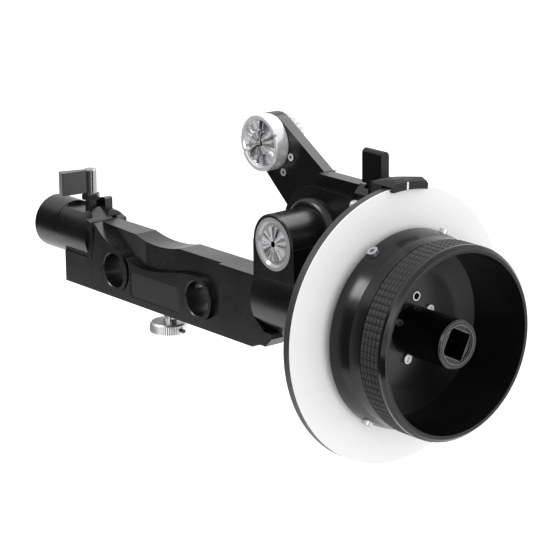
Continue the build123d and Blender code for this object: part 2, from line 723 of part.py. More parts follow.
output_tip = gear_module * (output_teeth / 2 + addendum)
cross_tip = gear_module * (cross_teeth / 2 + addendum)
spur_back = spur_front + spur_width
cross_bush_outer = cross_shaft_radius + running_fit + bush_wall
output_bush_outer = output_shaft_radius + running_fit + bush_wall
cross_front_bush_y = wheel_y - gearbox_radius + 2.1
cross_rear_bush_y = wheel_y + gearbox_radius - 2.0 - bush_length
output_front_bush_y = spur_back + slot_margin + 0.5
output_rear_bush_y = pivot_plate_front - bush_length - 0.2
gearbox_left = bar_right + seat_gap
with BuildPart() as gearbox_housing:
    rod(facing_x(gearbox_left, wheel_y, wheel_z), gearbox_radius, gearbox_end - gearbox_left)
    block((block_centre_x - block_half_width, boss_front, bar_above + seat_gap),
          (block_centre_x + block_half_width, pivot_plate_front, output_z))
    # round boss with a hollow flare at its root
    with BuildSketch(axis_y(drive_x, output_z)) as boss_profile:
        with BuildLine():
            Polyline((pivot_plate_front, boss_outer_radius + boss_flare), (pivot_plate_front, 0),
                     (boss_front, 0), (boss_front, boss_outer_radius - 0.5),
                     (boss_front + 0.5, boss_outer_radius),
                     (pivot_plate_front - boss_flare, boss_outer_radius))
            RadiusArc((pivot_plate_front - boss_flare, boss_outer_radius),
                      (pivot_plate_front, boss_outer_radius + boss_flare), boss_flare)
        make_face()
    revolve(axis=Axis((drive_x, 0, output_z), (0, 1, 0)))
    # chamber of the bevel gears, flat at the back, and the seat of the bearings
    with BuildSketch(facing_x(gearbox_left + gearbox_left_wall, wheel_y, wheel_z)) as chamber:
        Circle(chamber_radius)
        with Locations((chamber_back - wheel_y + chamber_radius, 0)):
            Rectangle(2 * chamber_radius, 2 * chamber_radius, mode=Mode.SUBTRACT)
    extrude(chamber.sketch, amount=bearing_first_x - 2 - gearbox_left - gearbox_left_wall,
            mode=Mode.SUBTRACT)
    rod(facing_x(bearing_first_x - 3, wheel_y, wheel_z), bearing_outer_radius - 1.5, 4,
        Mode.SUBTRACT)
    rod(facing_x(bearing_first_x, wheel_y, wheel_z), bearing_outer_radius + running_fit,
        gearbox_end - bearing_first_x, Mode.SUBTRACT)
    # slot of the spur gears
    slot_back = spur_back + slot_margin
    slot_length = spur_width + 2 * slot_margin
    block((drive_x - output_tip - slot_margin, spur_front - slot_margin, wheel_z),
          (drive_x + output_tip + slot_margin, slot_back, output_z), Mode.SUBTRACT)
    rod(facing_front(slot_back, drive_x, output_z), output_tip + slot_margin, slot_length,
        Mode.SUBTRACT)
    rod(facing_front(slot_back, drive_x, wheel_z), cross_tip + slot_margin, slot_length,
        Mode.SUBTRACT)
    # seats of the bushes, the transfer stud and the front socket
    rod(facing_front(wheel_y, drive_x, wheel_z), cross_bush_outer + seat_gap,
        wheel_y - cross_front_bush_y, Mode.SUBTRACT)
    rod(facing_front(cross_rear_bush_y + bush_length, drive_x, wheel_z),
        cross_bush_outer + seat_gap, cross_rear_bush_y + bush_length - wheel_y, Mode.SUBTRACT)
    # the arm's hub turns in a round pocket at the back
    rod(facing_front(wheel_y + gearbox_radius + 1, drive_x, output_z), arm_hub_radius + 0.4,
        wheel_y + gearbox_radius + 1 - hub_pocket_front, Mode.SUBTRACT)
    rod(facing_front(pivot_plate_front, drive_x, output_z), output_bush_outer + seat_gap,
        pivot_plate_front - spur_back, Mode.SUBTRACT)
    rod(facing_front(slot_back + 5, drive_x, transfer_z), stud_radius + seat_gap, 5,
        Mode.SUBTRACT)
    rod(facing_front(boss_front + socket_recess_depth, drive_x, output_z), socket_recess_radius,
        socket_recess_depth, Mode.SUBTRACT)
    rod(facing_front(slot_back, drive_x, output_z), output_shaft_radius + free_gap,
        slot_back - boss_front, Mode.SUBTRACT)
    for turn in range(0, 360, 60):
        screw_y, screw_z = polar(end_cap_screw_circle, turn, (wheel_y, wheel_z))
        rod(facing_x(gearbox_end - 7, screw_y, screw_z), end_cap_screw_radius + seat_gap, 7,
            Mode.SUBTRACT)
    for x, y, head_z, tip_z in gearbox_screw_places:
        rod(facing_up(head_z, x, y), bar_screw_radius + running_fit, tip_z + 0.5 - head_z,
            Mode.SUBTRACT)
save(gearbox_housing, "gearbox_housing")

with BuildPart() as end_cap:
    lathe(axis_x(), [(gearbox_end + seat_gap, main_shaft_radius + free_gap),
                     (gearbox_end + seat_gap, 9.2), (gearbox_end - 1.4, 9.2),
                     (gearbox_end - 1.4, bearing_outer_radius - 0.1),
                     (gearbox_end + seat_gap, bearing_outer_radius - 0.1),
                     (gearbox_end + seat_gap, gearbox_radius - 0.05),
                     (gearbox_end + end_cap_thickness, gearbox_radius - 0.05),
                     (gearbox_end + end_cap_thickness, main_shaft_radius + free_gap)])
    for turn in range(0, 360, 60):
        screw_y, screw_z = polar(end_cap_screw_circle, turn, (wheel_y, wheel_z))
        rod(facing_x(gearbox_end, screw_y, screw_z), end_cap_screw_radius + seat_gap,
            end_cap_thickness, Mode.SUBTRACT)
        rod(facing_x(gearbox_end + end_cap_thickness - 1.6, screw_y, screw_z),
            2 * end_cap_screw_radius, 1.6, Mode.SUBTRACT)
save(end_cap, "end_cap")

with BuildPart() as cap_screws:
    for turn in range(0, 360, 60):
        screw_y, screw_z = polar(end_cap_screw_circle, turn, (wheel_y, wheel_z))
        head_x = gearbox_end + end_cap_thickness - 1.6
        rod(facing_x(gearbox_end - 6, screw_y, screw_z), end_cap_screw_radius,
            head_x + 6 - gearbox_end)
        rod(facing_x(head_x, screw_y, screw_z), 2 * end_cap_screw_radius - 0.1, 1.5)
        hex_socket(facing_x(head_x + 1.5, screw_y, screw_z), 2.0, 0.9)
save(cap_screws, "cap_screws")

with BuildPart() as wheel_bearings:
    for bearing_x in (bearing_first_x + seat_gap, bearing_second_x):
        tube(facing_x(bearing_x, wheel_y, wheel_z), bearing_outer_radius,
             bearing_outer_radius - 1.7, bearing_width)
        tube(facing_x(bearing_x, wheel_y, wheel_z), main_shaft_radius + running_fit + 1.45,
             main_shaft_radius + running_fit, bearing_width)
        ball_circle = (bearing_outer_radius - 1.7 + main_shaft_radius + running_fit + 1.45) / 2
        for ball in range(ball_count):
            ball_y, ball_z = polar(ball_circle, 360 * ball / ball_count, (wheel_y, wheel_z))
            with Locations((bearing_x + bearing_width / 2, ball_y, ball_z)):
                Sphere(ball_radius)
save(wheel_bearings, "wheel_bearings")

with BuildPart() as bearing_spacer:
    tube(facing_x(bearing_first_x + bearing_width + 0.1, wheel_y, wheel_z),
         bearing_outer_radius, bearing_outer_radius - 1.5,
         bearing_second_x - bearing_first_x - bearing_width - 0.2)
save(bearing_spacer, "bearing_spacer")

with BuildPart() as cross_bushes:
    for bush_y in (cross_front_bush_y, cross_rear_bush_y):
        tube(facing_front(bush_y + bush_length, drive_x, wheel_z), cross_bush_outer,
             cross_shaft_radius + running_fit, bush_length)
save(cross_bushes, "cross_bushes")

with BuildPart() as output_bushes:
    for bush_y in (output_front_bush_y, output_rear_bush_y):
        tube(facing_front(bush_y + bush_length, drive_x, output_z), output_bush_outer,
             output_shaft_radius + running_fit, bush_length)
save(output_bushes, "output_bushes")

with BuildPart() as transfer_stud:
    rod(facing_front(slot_back + 4.8, drive_x, transfer_z), stud_radius,
        slot_back + 4.8 - spur_front)
save(transfer_stud, "transfer_stud")

# ======== gears inside the gearbox ========

bevel_share_end = bevel_radius * bevel_inner_share


def bevel(near_plane, far_plane, phase, bore, hub_radius, hub_length):
    """Mitre gear between two planes square to its axis, its teeth running to one apex."""
    with BuildSketch(near_plane) as near:
        with BuildLine():
            Polyline(*gear_outline(bevel_teeth, bevel_module, phase, bevel_inner_share),
                     close=True)
        make_face()
    with BuildSketch(far_plane) as far:
        with BuildLine():
            Polyline(*gear_outline(bevel_teeth, bevel_module, phase), close=True)
        make_face()
    loft([near.sketch.face(), far.sketch.face()], ruled=True)
    rod(far_plane, hub_radius, hub_length)
    rod(near_plane, bore, hub_length + 2 * bevel_radius, Mode.SUBTRACT)


def facing_back(y, x=0.0, z=0.0):
    """Plane across the Y axis with its normal along +Y: local y is +Z, local x is -X."""
    return Plane(origin=(x, y, z), x_dir=(-1, 0, 0), z_dir=(0, 1, 0))


with BuildPart() as main_bevel:
    bevel(facing_x(drive_x + bevel_share_end, wheel_y, wheel_z),
          facing_x(drive_x + bevel_radius, wheel_y, wheel_z),
          0.0, main_shaft_end_radius + running_fit, 5.0, bevel_hub_length)
save(main_bevel, "main_bevel")

with BuildPart() as cross_bevel:
    bevel(facing_back(wheel_y + bevel_share_end, drive_x, wheel_z),
          facing_back(wheel_y + bevel_radius, drive_x, wheel_z),
          180.0 + 180.0 / bevel_teeth, cross_shaft_radius + running_fit, 3.7, bevel_hub_length)
save(cross_bevel, "cross_bevel")

with BuildPart() as cross_shaft:
    rod(facing_front(cross_rear_bush_y + bush_length - 0.1, drive_x, wheel_z),
        cross_shaft_radius, cross_rear_bush_y + bush_length - 0.2 - cross_front_bush_y)
    rod(facing_front(spur_front - 0.05, drive_x, wheel_z), cross_shaft_radius + 1.0,
        spur_front - 0.05 - (cross_front_bush_y + bush_length + 0.1))
save(cross_shaft, "cross_shaft")

cross_phase = 90.0
with BuildPart() as cross_gear:
    spur(facing_front(spur_back, drive_x, wheel_z), cross_teeth, cross_phase, spur_width,
         cross_shaft_radius + running_fit)
save(cross_gear, "cross_gear")

transfer_phase = meshed_phase(cross_phase, cross_teeth, transfer_teeth, 90.0)
with BuildPart() as transfer_gear:
    spur(facing_front(spur_back, drive_x, transfer_z), transfer_teeth, transfer_phase,
         spur_width, stud_radius + running_fit)
save(transfer_gear, "transfer_gear")

output_phase = meshed_phase(transfer_phase, transfer_teeth, output_teeth, 90.0)
with BuildPart() as output_gear:
    spur(facing_front(spur_back, drive_x, output_z), output_teeth, output_phase, spur_width,
         output_shaft_radius + running_fit)
save(output_gear, "output_gear")

rear_gear_back = rear_gear_front + rear_gear_width
socket_back = boss_front + socket_recess_depth - 0.1
with BuildPart() as output_shaft:
    rod(facing_front(rear_gear_back + 0.6, drive_x, output_z), output_shaft_radius,
        rear_gear_back + 0.6 - socket_back)
save(output_shaft, "output_shaft")

with BuildPart() as front_socket:
    socket_face = boss_front + 0.2
    lathe(axis_y(drive_x, output_z),
          [(socket_back, 0), (socket_back, socket_recess_radius - 0.25),
           (socket_face, socket_recess_radius - 0.25), (socket_face, socket_dish_radius),
           (socket_face + socket_dish_depth, socket_dish_radius - socket_dish_depth),
           (socket_face + socket_dish_depth, socket_petal_radius),
           (socket_face + 0.2, socket_petal_radius - 0.3), (socket_face + 0.2, 0)])
    # a round centre hole and radial grooves that leave a ring of petals
    with BuildSketch(facing_front(socket_back - 0.4, drive_x, output_z)) as petals:
        with PolarLocations(socket_petal_circle, socket_petal_count):
            Rectangle(socket_petal_groove, 0.8)
        Circle(socket_hole_radius)
    extrude(petals.sketch, amount=2, mode=Mode.SUBTRACT)
save(front_socket, "front_socket")

with BuildPart() as drive_gear:
    spur(facing_front(rear_gear_back, drive_x, output_z), drive_teeth, arm_angle,
         rear_gear_width, output_shaft_radius + running_fit)
save(drive_gear, "drive_gear")

# ======== pivot plate and its sleeve ========

with BuildPart() as pivot_plate:
    with BuildSketch(facing_front(pivot_plate_back)) as plate_outline:
        with Locations((drive_x, pivot_plate_centre_z)):
            Circle(pivot_plate_radius)
        with BuildLine():
            Polyline((drive_x, wheel_z), (pivot_plate_right, wheel_z),
                     (pivot_plate_right, pivot_plate_top), (drive_x, pivot_plate_top),
                     close=True)
        make_face()
        with Locations((drive_x, output_z)):
            Circle(output_shaft_radius + free_gap, mode=Mode.SUBTRACT)
    extrude(amount=pivot_plate_thickness)
    # saddle over the gearbox
    rod(facing_x(0, wheel_y, wheel_z), gearbox_radius + seat_gap, gearbox_end, Mode.SUBTRACT)
    block((0, 0, -gearbox_radius), (gearbox_end, 2 * wheel_y, wheel_z + 12), Mode.SUBTRACT)
    rod(facing_x(pivot_plate_right - 8, plate_screw_y, plate_screw_z),
        plate_screw_radius + running_fit, 8, Mode.SUBTRACT)
save(pivot_plate, "pivot_plate")

with BuildPart() as plate_screw:
    rod(facing_x(pivot_plate_right - 7, plate_screw_y, plate_screw_z), plate_screw_radius, 7)
    rod(facing_x(pivot_plate_right, plate_screw_y, plate_screw_z), plate_screw_head_radius,
        plate_screw_head)
    hex_socket(facing_x(pivot_plate_right + plate_screw_head, plate_screw_y, plate_screw_z),
               2.0, plate_screw_head * socket_depth_share)
save(plate_screw, "plate_screw")

with BuildPart() as pivot_sleeve:
    tube(facing_front(arm_back, drive_x, output_z), sleeve_radius,
         output_shaft_radius + free_gap, arm_back - pivot_plate_back)
save(pivot_sleeve, "pivot_sleeve")

with BuildPart() as pivot_nut:
    tube(facing_front(arm_back, drive_x, output_z), pivot_nut_radius,
         sleeve_radius + seat_gap, pivot_nut_thickness)
    with BuildSketch(facing_front(arm_back, drive_x, output_z)) as spanner_holes:
        with PolarLocations((pivot_nut_radius + sleeve_radius) / 2, 4):
            Circle(0.7)
    extrude(spanner_holes.sketch, amount=1.2, mode=Mode.SUBTRACT)
save(pivot_nut, "pivot_nut")

# ======== swing arm ========

lens_centre = arm_place(lens_reach)
upper_tangent = polar(arm_end_radius, arm_edge_angle - 90, lens_centre)
lower_tangent = polar(arm_end_radius, arm_angle + 90, lens_centre)
top_run = (upper_tangent[1] - arm_top) / tan(radians(180 - arm_edge_angle))
lower_foot = polar(lens_reach, arm_angle - 180, lower_tangent)
with BuildPart() as swing_arm:
    prism(facing_front(arm_back), [upper_tangent, (upper_tangent[0] + top_run, arm_top),
                                   (arm_seam_x, arm_top), (arm_seam_x, output_z), lower_foot,
                                   lower_tangent], arm_thickness)
    rod(facing_front(arm_back, *lens_centre), arm_end_radius, arm_thickness)
    rod(facing_front(arm_back, drive_x, output_z), arm_hub_radius, arm_back - arm_hub_front)
    prism(facing_front(arm_back), [(upper_tangent[0] + top_run, arm_top),
                                   (arm_seam_x, arm_top), (arm_seam_x, output_z),
                                   (arm_seam_x - 12, output_z)], arm_back - arm_hub_front)
    rod(facing_front(arm_back, drive_x, output_z), sleeve_radius + running_fit,
        arm_back - arm_hub_front, Mode.SUBTRACT)
    rod(facing_front(arm_back, drive_x, output_z), pivot_nut_radius + free_gap,
        pivot_nut_thickness + running_fit, Mode.SUBTRACT)
    rod(facing_front(arm_back, *lens_centre), lens_shaft_radius + running_fit + bush_wall
        + seat_gap, arm_thickness, Mode.SUBTRACT)
    for reach in (first_idler_reach, second_idler_reach):
        rod(facing_front(arm_back, *arm_place(reach)), stud_radius + seat_gap, stud_seat_depth,
            Mode.SUBTRACT)
    for place in arm_screw_places:
        rod(facing_front(arm_front + 3, *place), arm_screw_radius + running_fit, 3,
            Mode.SUBTRACT)
save(swing_arm, "swing_arm")

with BuildPart() as arm_screws:
    for place in arm_screw_places:
        rod(facing_front(arm_front + 2.9, *place), arm_screw_radius, 2.9)
        rod(facing_front(arm_front, *place), arm_screw_head_radius, 0.8)
        hex_socket(facing_front(arm_front - 0.8, *place), 1.5, 0.6)
save(arm_screws, "arm_screws")

with BuildPart() as idler_studs:
    for reach in (first_idler_reach, second_idler_reach):
        rod(facing_front(rear_gear_back + 1.0, *arm_place(reach)), stud_radius,
            rear_gear_back + 1.0 - arm_back + stud_seat_depth)
        rod(facing_front(rear_gear_back + 1.0, *arm_place(reach)), stud_radius + 1.2, 0.8)
save(idler_studs, "idler_studs")

with BuildPart() as lens_bush:
    tube(facing_front(arm_back, *lens_centre), lens_shaft_radius + running_fit + bush_wall,
         lens_shaft_radius + running_fit, arm_thickness)
save(lens_bush, "lens_bush")

# ======== gears on the arm ========

first_idler_phase = meshed_phase(arm_angle, drive_teeth, first_idler_teeth, arm_angle)
with BuildPart() as first_idler:
    spur(facing_front(rear_gear_back, *arm_place(first_idler_reach)), first_idler_teeth,
         first_idler_phase, rear_gear_width, stud_radius + running_fit)
save(first_idler, "first_idler")

second_idler_phase = meshed_phase(first_idler_phase, first_idler_teeth, second_idler_teeth,
                                  arm_angle)
with BuildPart() as second_idler:
    spur(facing_front(rear_gear_back, *arm_place(second_idler_reach)), second_idler_teeth,
         second_idler_phase, rear_gear_width, stud_radius + running_fit)
save(second_idler, "second_idler")

lens_phase = meshed_phase(second_idler_phase, second_idler_teeth, lens_teeth, arm_angle)
with BuildPart() as lens_gear:
    spur(facing_front(rear_gear_back, *lens_centre), lens_teeth, lens_phase, rear_gear_width,
         lens_shaft_radius + running_fit)
save(lens_gear, "lens_gear")

# ======== lens drum ========

drum_back = arm_front - free_gap
drum_floor = drum_front + 1.6
with BuildPart() as lens_shaft:
    rod(facing_front(rear_gear_back + 0.6, *lens_centre), lens_shaft_radius,
        rear_gear_back + 0.6 - drum_hub_back)
save(lens_shaft, "lens_shaft")

with BuildPart() as lens_drum:
    lathe(axis_y(*lens_centre),
          [(drum_front, drum_face_radius), (drum_front, drum_radius - 0.3),
           (drum_front + 0.3, drum_radius), (drum_back, drum_radius),
           (drum_back, lens_shaft_radius + running_fit), (drum_hub_back,
                                                          lens_shaft_radius + running_fit),
           (drum_hub_back, drum_hub_radius + seat_gap), (drum_floor, drum_hub_radius + seat_gap),
           (drum_floor, drum_face_radius - 0.4), (drum_front + 0.6, drum_face_radius - 0.4)])
    # ring of ribs, and two notches across the rim
    with BuildSketch(facing_front(drum_floor, *lens_centre)) as ribs:
        with PolarLocations((drum_hub_radius + drum_face_radius) / 2, drum_ribs):
            Rectangle(drum_face_radius - drum_hub_radius - 2.0, 0.7)
    extrude(ribs.sketch, amount=0.9)
    with BuildSketch(facing_front(drum_front + 0.7, *lens_centre)) as notches:
        with PolarLocations((drum_face_radius + drum_radius) / 2, 2, start_angle=205):
            Rectangle(drum_radius - drum_face_radius + 1.0, 1.1)
    extrude(notches.sketch, amount=1, mode=Mode.SUBTRACT)
save(lens_drum, "lens_drum")

with BuildPart() as lens_hub:
    rod(facing_front(drum_hub_back, *lens_centre), drum_hub_radius,
        drum_hub_back - drum_front - 0.2)
    hex_socket(facing_front(drum_front + 0.2, *lens_centre), 4.0, 1.8)
    with BuildSketch(facing_front(drum_front + 1.2, *lens_centre)) as split:
        Rectangle(0.8, 2 * drum_hub_radius + 1)
    extrude(split.sketch, amount=1.2, mode=Mode.SUBTRACT)
save(lens_hub, "lens_hub")

# ======== arm lock ========

with BuildPart() as lock_block:
    prism(facing_front(lock_block_back),
          [(arm_seam_x + 0.2, arm_top), (arm_seam_x + 0.2, lock_block_low),
           (lock_column_left, lock_block_low), (lock_column_left, lock_column_low),
           (pivot_plate_right, lock_column_low), (pivot_plate_right, arm_top)],
          lock_block_back - pivot_plate_back)
save(lock_block, "lock_block")

lock_middle_x = (tab_left + tab_right) / 2
with BuildPart() as lock_base:
    block((pivot_plate_right, lock_base_front, lock_base_bottom),
          (lock_base_right, lock_base_back, lock_base_top))
    prism(facing_x(pivot_plate_right), [(lock_base_front, lock_base_chamfer_low),
                                        (lock_base_chamfer_back, lock_base_top),
                                        (lock_base_front, lock_base_top)],
          lock_base_right - pivot_plate_right, Mode.SUBTRACT)
    block((lock_middle_x - tab_tongue_half - free_gap, lock_slot_front, lock_base_bottom),
          (lock_middle_x + tab_tongue_half + free_gap, lock_slot_back, lock_base_top),
          Mode.SUBTRACT)
    rod(facing_x(pivot_plate_right, tab_pin_y, tab_pin_z), tab_pin_radius + seat_gap,
        lock_base_right - pivot_plate_right, Mode.SUBTRACT)
save(lock_base, "lock_base")

with BuildPart() as lock_pin:
    rod(facing_x(pivot_plate_right + 0.2, tab_pin_y, tab_pin_z), tab_pin_radius,
        lock_base_right - pivot_plate_right - 0.4)
save(lock_pin, "lock_pin")

with BuildPart() as lock_lever:
    # flat tab, its top edge fully rounded, on a narrower tongue
    tab_round = tab_thickness / 2
    tab_back = tab_front + tab_thickness
    block((tab_left, tab_front, tab_bottom), (tab_right, tab_back, tab_top - tab_round))
    rod(facing_x(tab_left, tab_front + tab_round, tab_top - tab_round), tab_round,
        tab_right - tab_left)
    block((lock_middle_x - tab_tongue_half, tab_front, tab_pin_z),
          (lock_middle_x + tab_tongue_half, tab_back, tab_bottom + 1))
    rod(facing_x(lock_middle_x - tab_tongue_half, tab_pin_y, tab_pin_z), tab_thickness / 2,
        2 * tab_tongue_half)
    rod(facing_x(lock_middle_x - tab_tongue_half, tab_pin_y, tab_pin_z),
        tab_pin_radius + running_fit, 2 * tab_tongue_half, Mode.SUBTRACT)
save(lock_lever, "lock_lever")

# ======== main shaft, marking disk, hand wheel ========

with BuildPart() as main_shaft:
    lathe(axis_x(), [(main_shaft_left, 0), (main_shaft_left, main_shaft_end_radius),
                     (main_shaft_shoulder_x, main_shaft_end_radius),
                     (main_shaft_shoulder_x, main_shaft_radius),
                     (disk_back - shaft_flange_thickness, main_shaft_radius),
                     (disk_back - shaft_flange_thickness, shaft_flange_radius),
                     (disk_back, shaft_flange_radius), (disk_back, spigot_radius),
                     (wheel_floor_x, spigot_radius), (wheel_floor_x, 0)])
save(main_shaft, "main_shaft")

white_back = disk_front - disk_white_thickness
with BuildPart() as disk_backing:
    tube(facing_x(disk_back, wheel_y, wheel_z), disk_radius, spigot_radius + seat_gap,
         white_back - disk_back)
save(disk_backing, "disk_backing")

with BuildPart() as marking_disk:
    tube(facing_x(white_back, wheel_y, wheel_z), disk_radius, spigot_radius + seat_gap,
         disk_white_thickness)
save(marking_disk, "marking_disk")

cup_left = disk_front
with BuildPart() as wheel_cup:
    # its outside swells from the foot to a rounded shoulder, then a crease before the grip
    with BuildSketch(axis_x()) as cup_section:
        with BuildLine():
            Polyline((wheel_wide_x, wheel_wide_radius), (cup_left, wheel_base_radius),
                     (cup_left, spigot_radius + seat_gap),
                     (wheel_floor_x, spigot_radius + seat_gap),
                     (wheel_floor_x, wheel_floor_radius), (wheel_mouth_x, wheel_mouth_radius),
                     (wheel_mouth_x, grip_seat_radius), (wheel_flare_x, grip_seat_radius),
                     (wheel_flare_x, wheel_flare_radius), (wheel_crease_x, wheel_crease_radius))
            ThreePointArc((wheel_crease_x, wheel_crease_radius),
                          (wheel_shoulder_x, wheel_shoulder_radius),
                          (wheel_wide_x, wheel_wide_radius))
        make_face()
    revolve(axis=Axis((0, wheel_y, wheel_z), (1, 0, 0)))
    for turn in floor_screw_turns:
        screw_y, screw_z = polar(floor_screw_circle, turn, (wheel_y, wheel_z))
        rod(facing_x(cup_left, screw_y, screw_z), floor_screw_shank + seat_gap,
            wheel_floor_x - cup_left, Mode.SUBTRACT)
    eyelet_y, eyelet_z = polar(eyelet_circle, eyelet_turn, (wheel_y, wheel_z))
    rod(facing_x(wheel_floor_x - eyelet_hole_depth, eyelet_y, eyelet_z), eyelet_hole_radius,
        eyelet_hole_depth, Mode.SUBTRACT)
    for turn in radial_screw_turns:
        outward = Vector(0, *polar(1, turn))
        seat = Vector(radial_screw_x, *polar(radial_screw_seat, turn, (wheel_y, wheel_z)))
        rod(Plane(origin=seat, z_dir=outward), radial_screw_radius + seat_gap,
            wheel_wide_radius - radial_screw_seat + 1, Mode.SUBTRACT)
save(wheel_cup, "wheel_cup")

with BuildPart() as grip_ring:
    grip_left = wheel_flare_x
    with BuildSketch(axis_x()) as grip_section:
        with BuildLine():
            Polyline((grip_left, grip_seat_radius + seat_gap), (grip_left, grip_radius - 0.5),
                     (grip_left + 0.5, grip_radius), (grip_right - 0.3, grip_radius),
                     (grip_right, grip_radius - 0.3), (grip_right, grip_seat_radius + seat_gap),
                     close=True)
        make_face()
    revolve(axis=Axis((0, wheel_y, wheel_z), (1, 0, 0)))
save(grip_ring, "grip_ring")

with BuildPart() as rim_ring:
    lathe(axis_x(), [(grip_right, grip_seat_radius + seat_gap), (grip_right, grip_radius - 0.1),
                     (wheel_mouth_x - rim_chamfer, grip_radius - 0.1),
                     (wheel_mouth_x, grip_radius - 0.1 - rim_chamfer),
                     (wheel_mouth_x, grip_seat_radius + seat_gap)])
save(rim_ring, "rim_ring")

with BuildPart() as hub_tube:
    lathe(axis_x(), [(wheel_floor_x, 0), (wheel_floor_x, hub_radius),
                     (wheel_mouth_x - 0.6, hub_radius), (wheel_mouth_x, hub_radius - 0.6),
                     (wheel_mouth_x, hub_mouth_radius),
                     (wheel_mouth_x - hub_counterbore, hub_mouth_radius),
                     (wheel_mouth_x - hub_counterbore, 0)])
    with BuildSketch(facing_x(wheel_mouth_x - hub_socket_depth, wheel_y, wheel_z)) as square:
        RectangleRounded(hub_square, hub_square, 0.6, rotation=hub_square_turn)
    extrude(square.sketch, amount=hub_socket_depth, mode=Mode.SUBTRACT)
save(hub_tube, "hub_tube")

with BuildPart() as floor_screws:
    for turn in floor_screw_turns:
        screw_y, screw_z = polar(floor_screw_circle, turn, (wheel_y, wheel_z))
        rod(facing_x(cup_left + 0.5, screw_y, screw_z), floor_screw_shank,
            wheel_floor_x - cup_left - 0.5)
        rod(facing_x(wheel_floor_x, screw_y, screw_z), floor_screw_radius, floor_screw_head)
        hex_socket(facing_x(wheel_floor_x + floor_screw_head, screw_y, screw_z), 2.0,
                   floor_screw_head * socket_depth_share)
    tube(facing_x(wheel_floor_x, eyelet_y, eyelet_z), eyelet_radius, eyelet_hole_radius,
         eyelet_height)
save(floor_screws, "floor_screws")

with BuildPart() as radial_screws:
    for turn in radial_screw_turns:
        outward = Vector(0, *polar(1, turn))
        seat = Vector(radial_screw_x, *polar(radial_screw_seat + 0.2, turn, (wheel_y, wheel_z)))
        rod(Plane(origin=seat, z_dir=outward), radial_screw_radius,
            radial_screw_out - radial_screw_seat - 0.2)
        tip = Vector(radial_screw_x, *polar(radial_screw_out, turn, (wheel_y, wheel_z)))
        hex_socket(Plane(origin=tip, z_dir=outward), radial_screw_hex, radial_screw_hex_depth)
save(radial_screws, "radial_screws")

# ======== index ========

index_arm_left = index_ring_left + 1.4
index_arm_right = index_left
index_arm_top = polar(index_back_radius - 0.3, index_angle)
with BuildPart() as index_ring:
    tube(facing_x(index_ring_left, wheel_y, wheel_z), index_ring_outer,
         gearbox_radius + running_fit, index_left - index_ring_left)
    # flat arm behind the marking disk
    with BuildSketch(facing_x(index_arm_left, wheel_y, wheel_z)) as index_arm:
        with BuildLine():
            Polyline(polar(index_ring_outer - 2, index_angle - 24),
                     (index_arm_top[0] + index_arm_half_width, index_arm_top[1]),
                     (index_arm_top[0] - index_arm_half_width, index_arm_top[1]),
                     polar(index_ring_outer - 2, index_angle + 24), close=True)
        make_face()
        Circle(gearbox_radius + running_fit, mode=Mode.SUBTRACT)
    extrude(index_arm.sketch, amount=index_arm_right - index_arm_left)
save(index_ring, "index_ring")

with BuildPart() as index_block:
    # sector of a ring over the disk's rim, lower at the back
    half_turn = index_width_angle / 2
    lathe(axis_x(), [(index_left, index_leg_radius),
                     (index_left, index_back_radius),
                     (index_left + index_back_bevel, index_back_radius + index_back_bevel),
                     (index_right - index_front_bevel, index_outer),
                     (index_right, index_front_radius), (index_right, index_lip_radius),
                     (index_lip_left, index_lip_radius), (index_lip_left, index_clear_radius),
                     (disk_back - index_back_gap, index_clear_radius),
                     (disk_back - index_back_gap, index_leg_radius)])
    # chamfered upper corners
    prism(facing_x(index_left - 1, wheel_y, wheel_z),
          [(0, 0), polar(index_outer - 2.4, index_angle - half_turn),
           polar(index_outer + 0.3, index_angle - index_end_angle),
           polar(index_outer + 1.5, index_angle - index_top_angle),
           polar(index_outer + 1.5, index_angle + index_top_angle),
           polar(index_outer + 0.3, index_angle + index_end_angle),
           polar(index_outer - 2.4, index_angle + half_turn)],
          index_right - index_left + 2, Mode.INTERSECT)
    # shallow dip along the top
    dip_y, dip_z = polar(index_outer + index_dip_radius - index_dip_depth, index_angle,
                         (wheel_y, wheel_z))
    rod(facing_x(index_left - 1, dip_y, dip_z), index_dip_radius, index_right - index_left + 2,
        Mode.SUBTRACT)
    # groove of the index line, across the lip's front face
    line_inner = index_lip_radius + index_line_margin
    line_outer = index_front_radius - index_line_margin
    line_middle = (line_inner + line_outer) / 2
    line_left = index_right - index_line_depth
    with BuildSketch(facing_x(line_left, wheel_y, wheel_z)) as line_groove:
        with PolarLocations(line_middle, 1, start_angle=index_line_angle):
            Rectangle(line_outer - line_inner + 0.1, index_line_width + 0.1)
    extrude(line_groove.sketch, amount=1, mode=Mode.SUBTRACT)
save(index_block, "index_block")

with BuildPart() as index_line:
    with BuildSketch(facing_x(line_left, wheel_y, wheel_z)) as line_strip:
        with PolarLocations(line_middle, 1, start_angle=index_line_angle):
            Rectangle(line_outer - line_inner, index_line_width)
    extrude(line_strip.sketch, amount=index_line_depth)
save(index_line, "index_line")
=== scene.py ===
from math import cos, pi, radians, sin

import bpy
from mathutils import Matrix, Vector


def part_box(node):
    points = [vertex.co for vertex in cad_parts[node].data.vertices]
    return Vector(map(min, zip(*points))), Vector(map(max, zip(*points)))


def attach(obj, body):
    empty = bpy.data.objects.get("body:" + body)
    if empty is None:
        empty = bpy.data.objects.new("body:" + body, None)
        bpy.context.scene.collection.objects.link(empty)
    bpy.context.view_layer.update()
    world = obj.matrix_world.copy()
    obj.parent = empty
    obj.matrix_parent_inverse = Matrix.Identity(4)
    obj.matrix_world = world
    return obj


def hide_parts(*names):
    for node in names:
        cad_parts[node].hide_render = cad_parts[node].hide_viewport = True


# A follow focus unit on two support rods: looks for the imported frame.
# Frame: +X along the bridge to the hand wheel, +Y along the rods, +Z up, in metres.

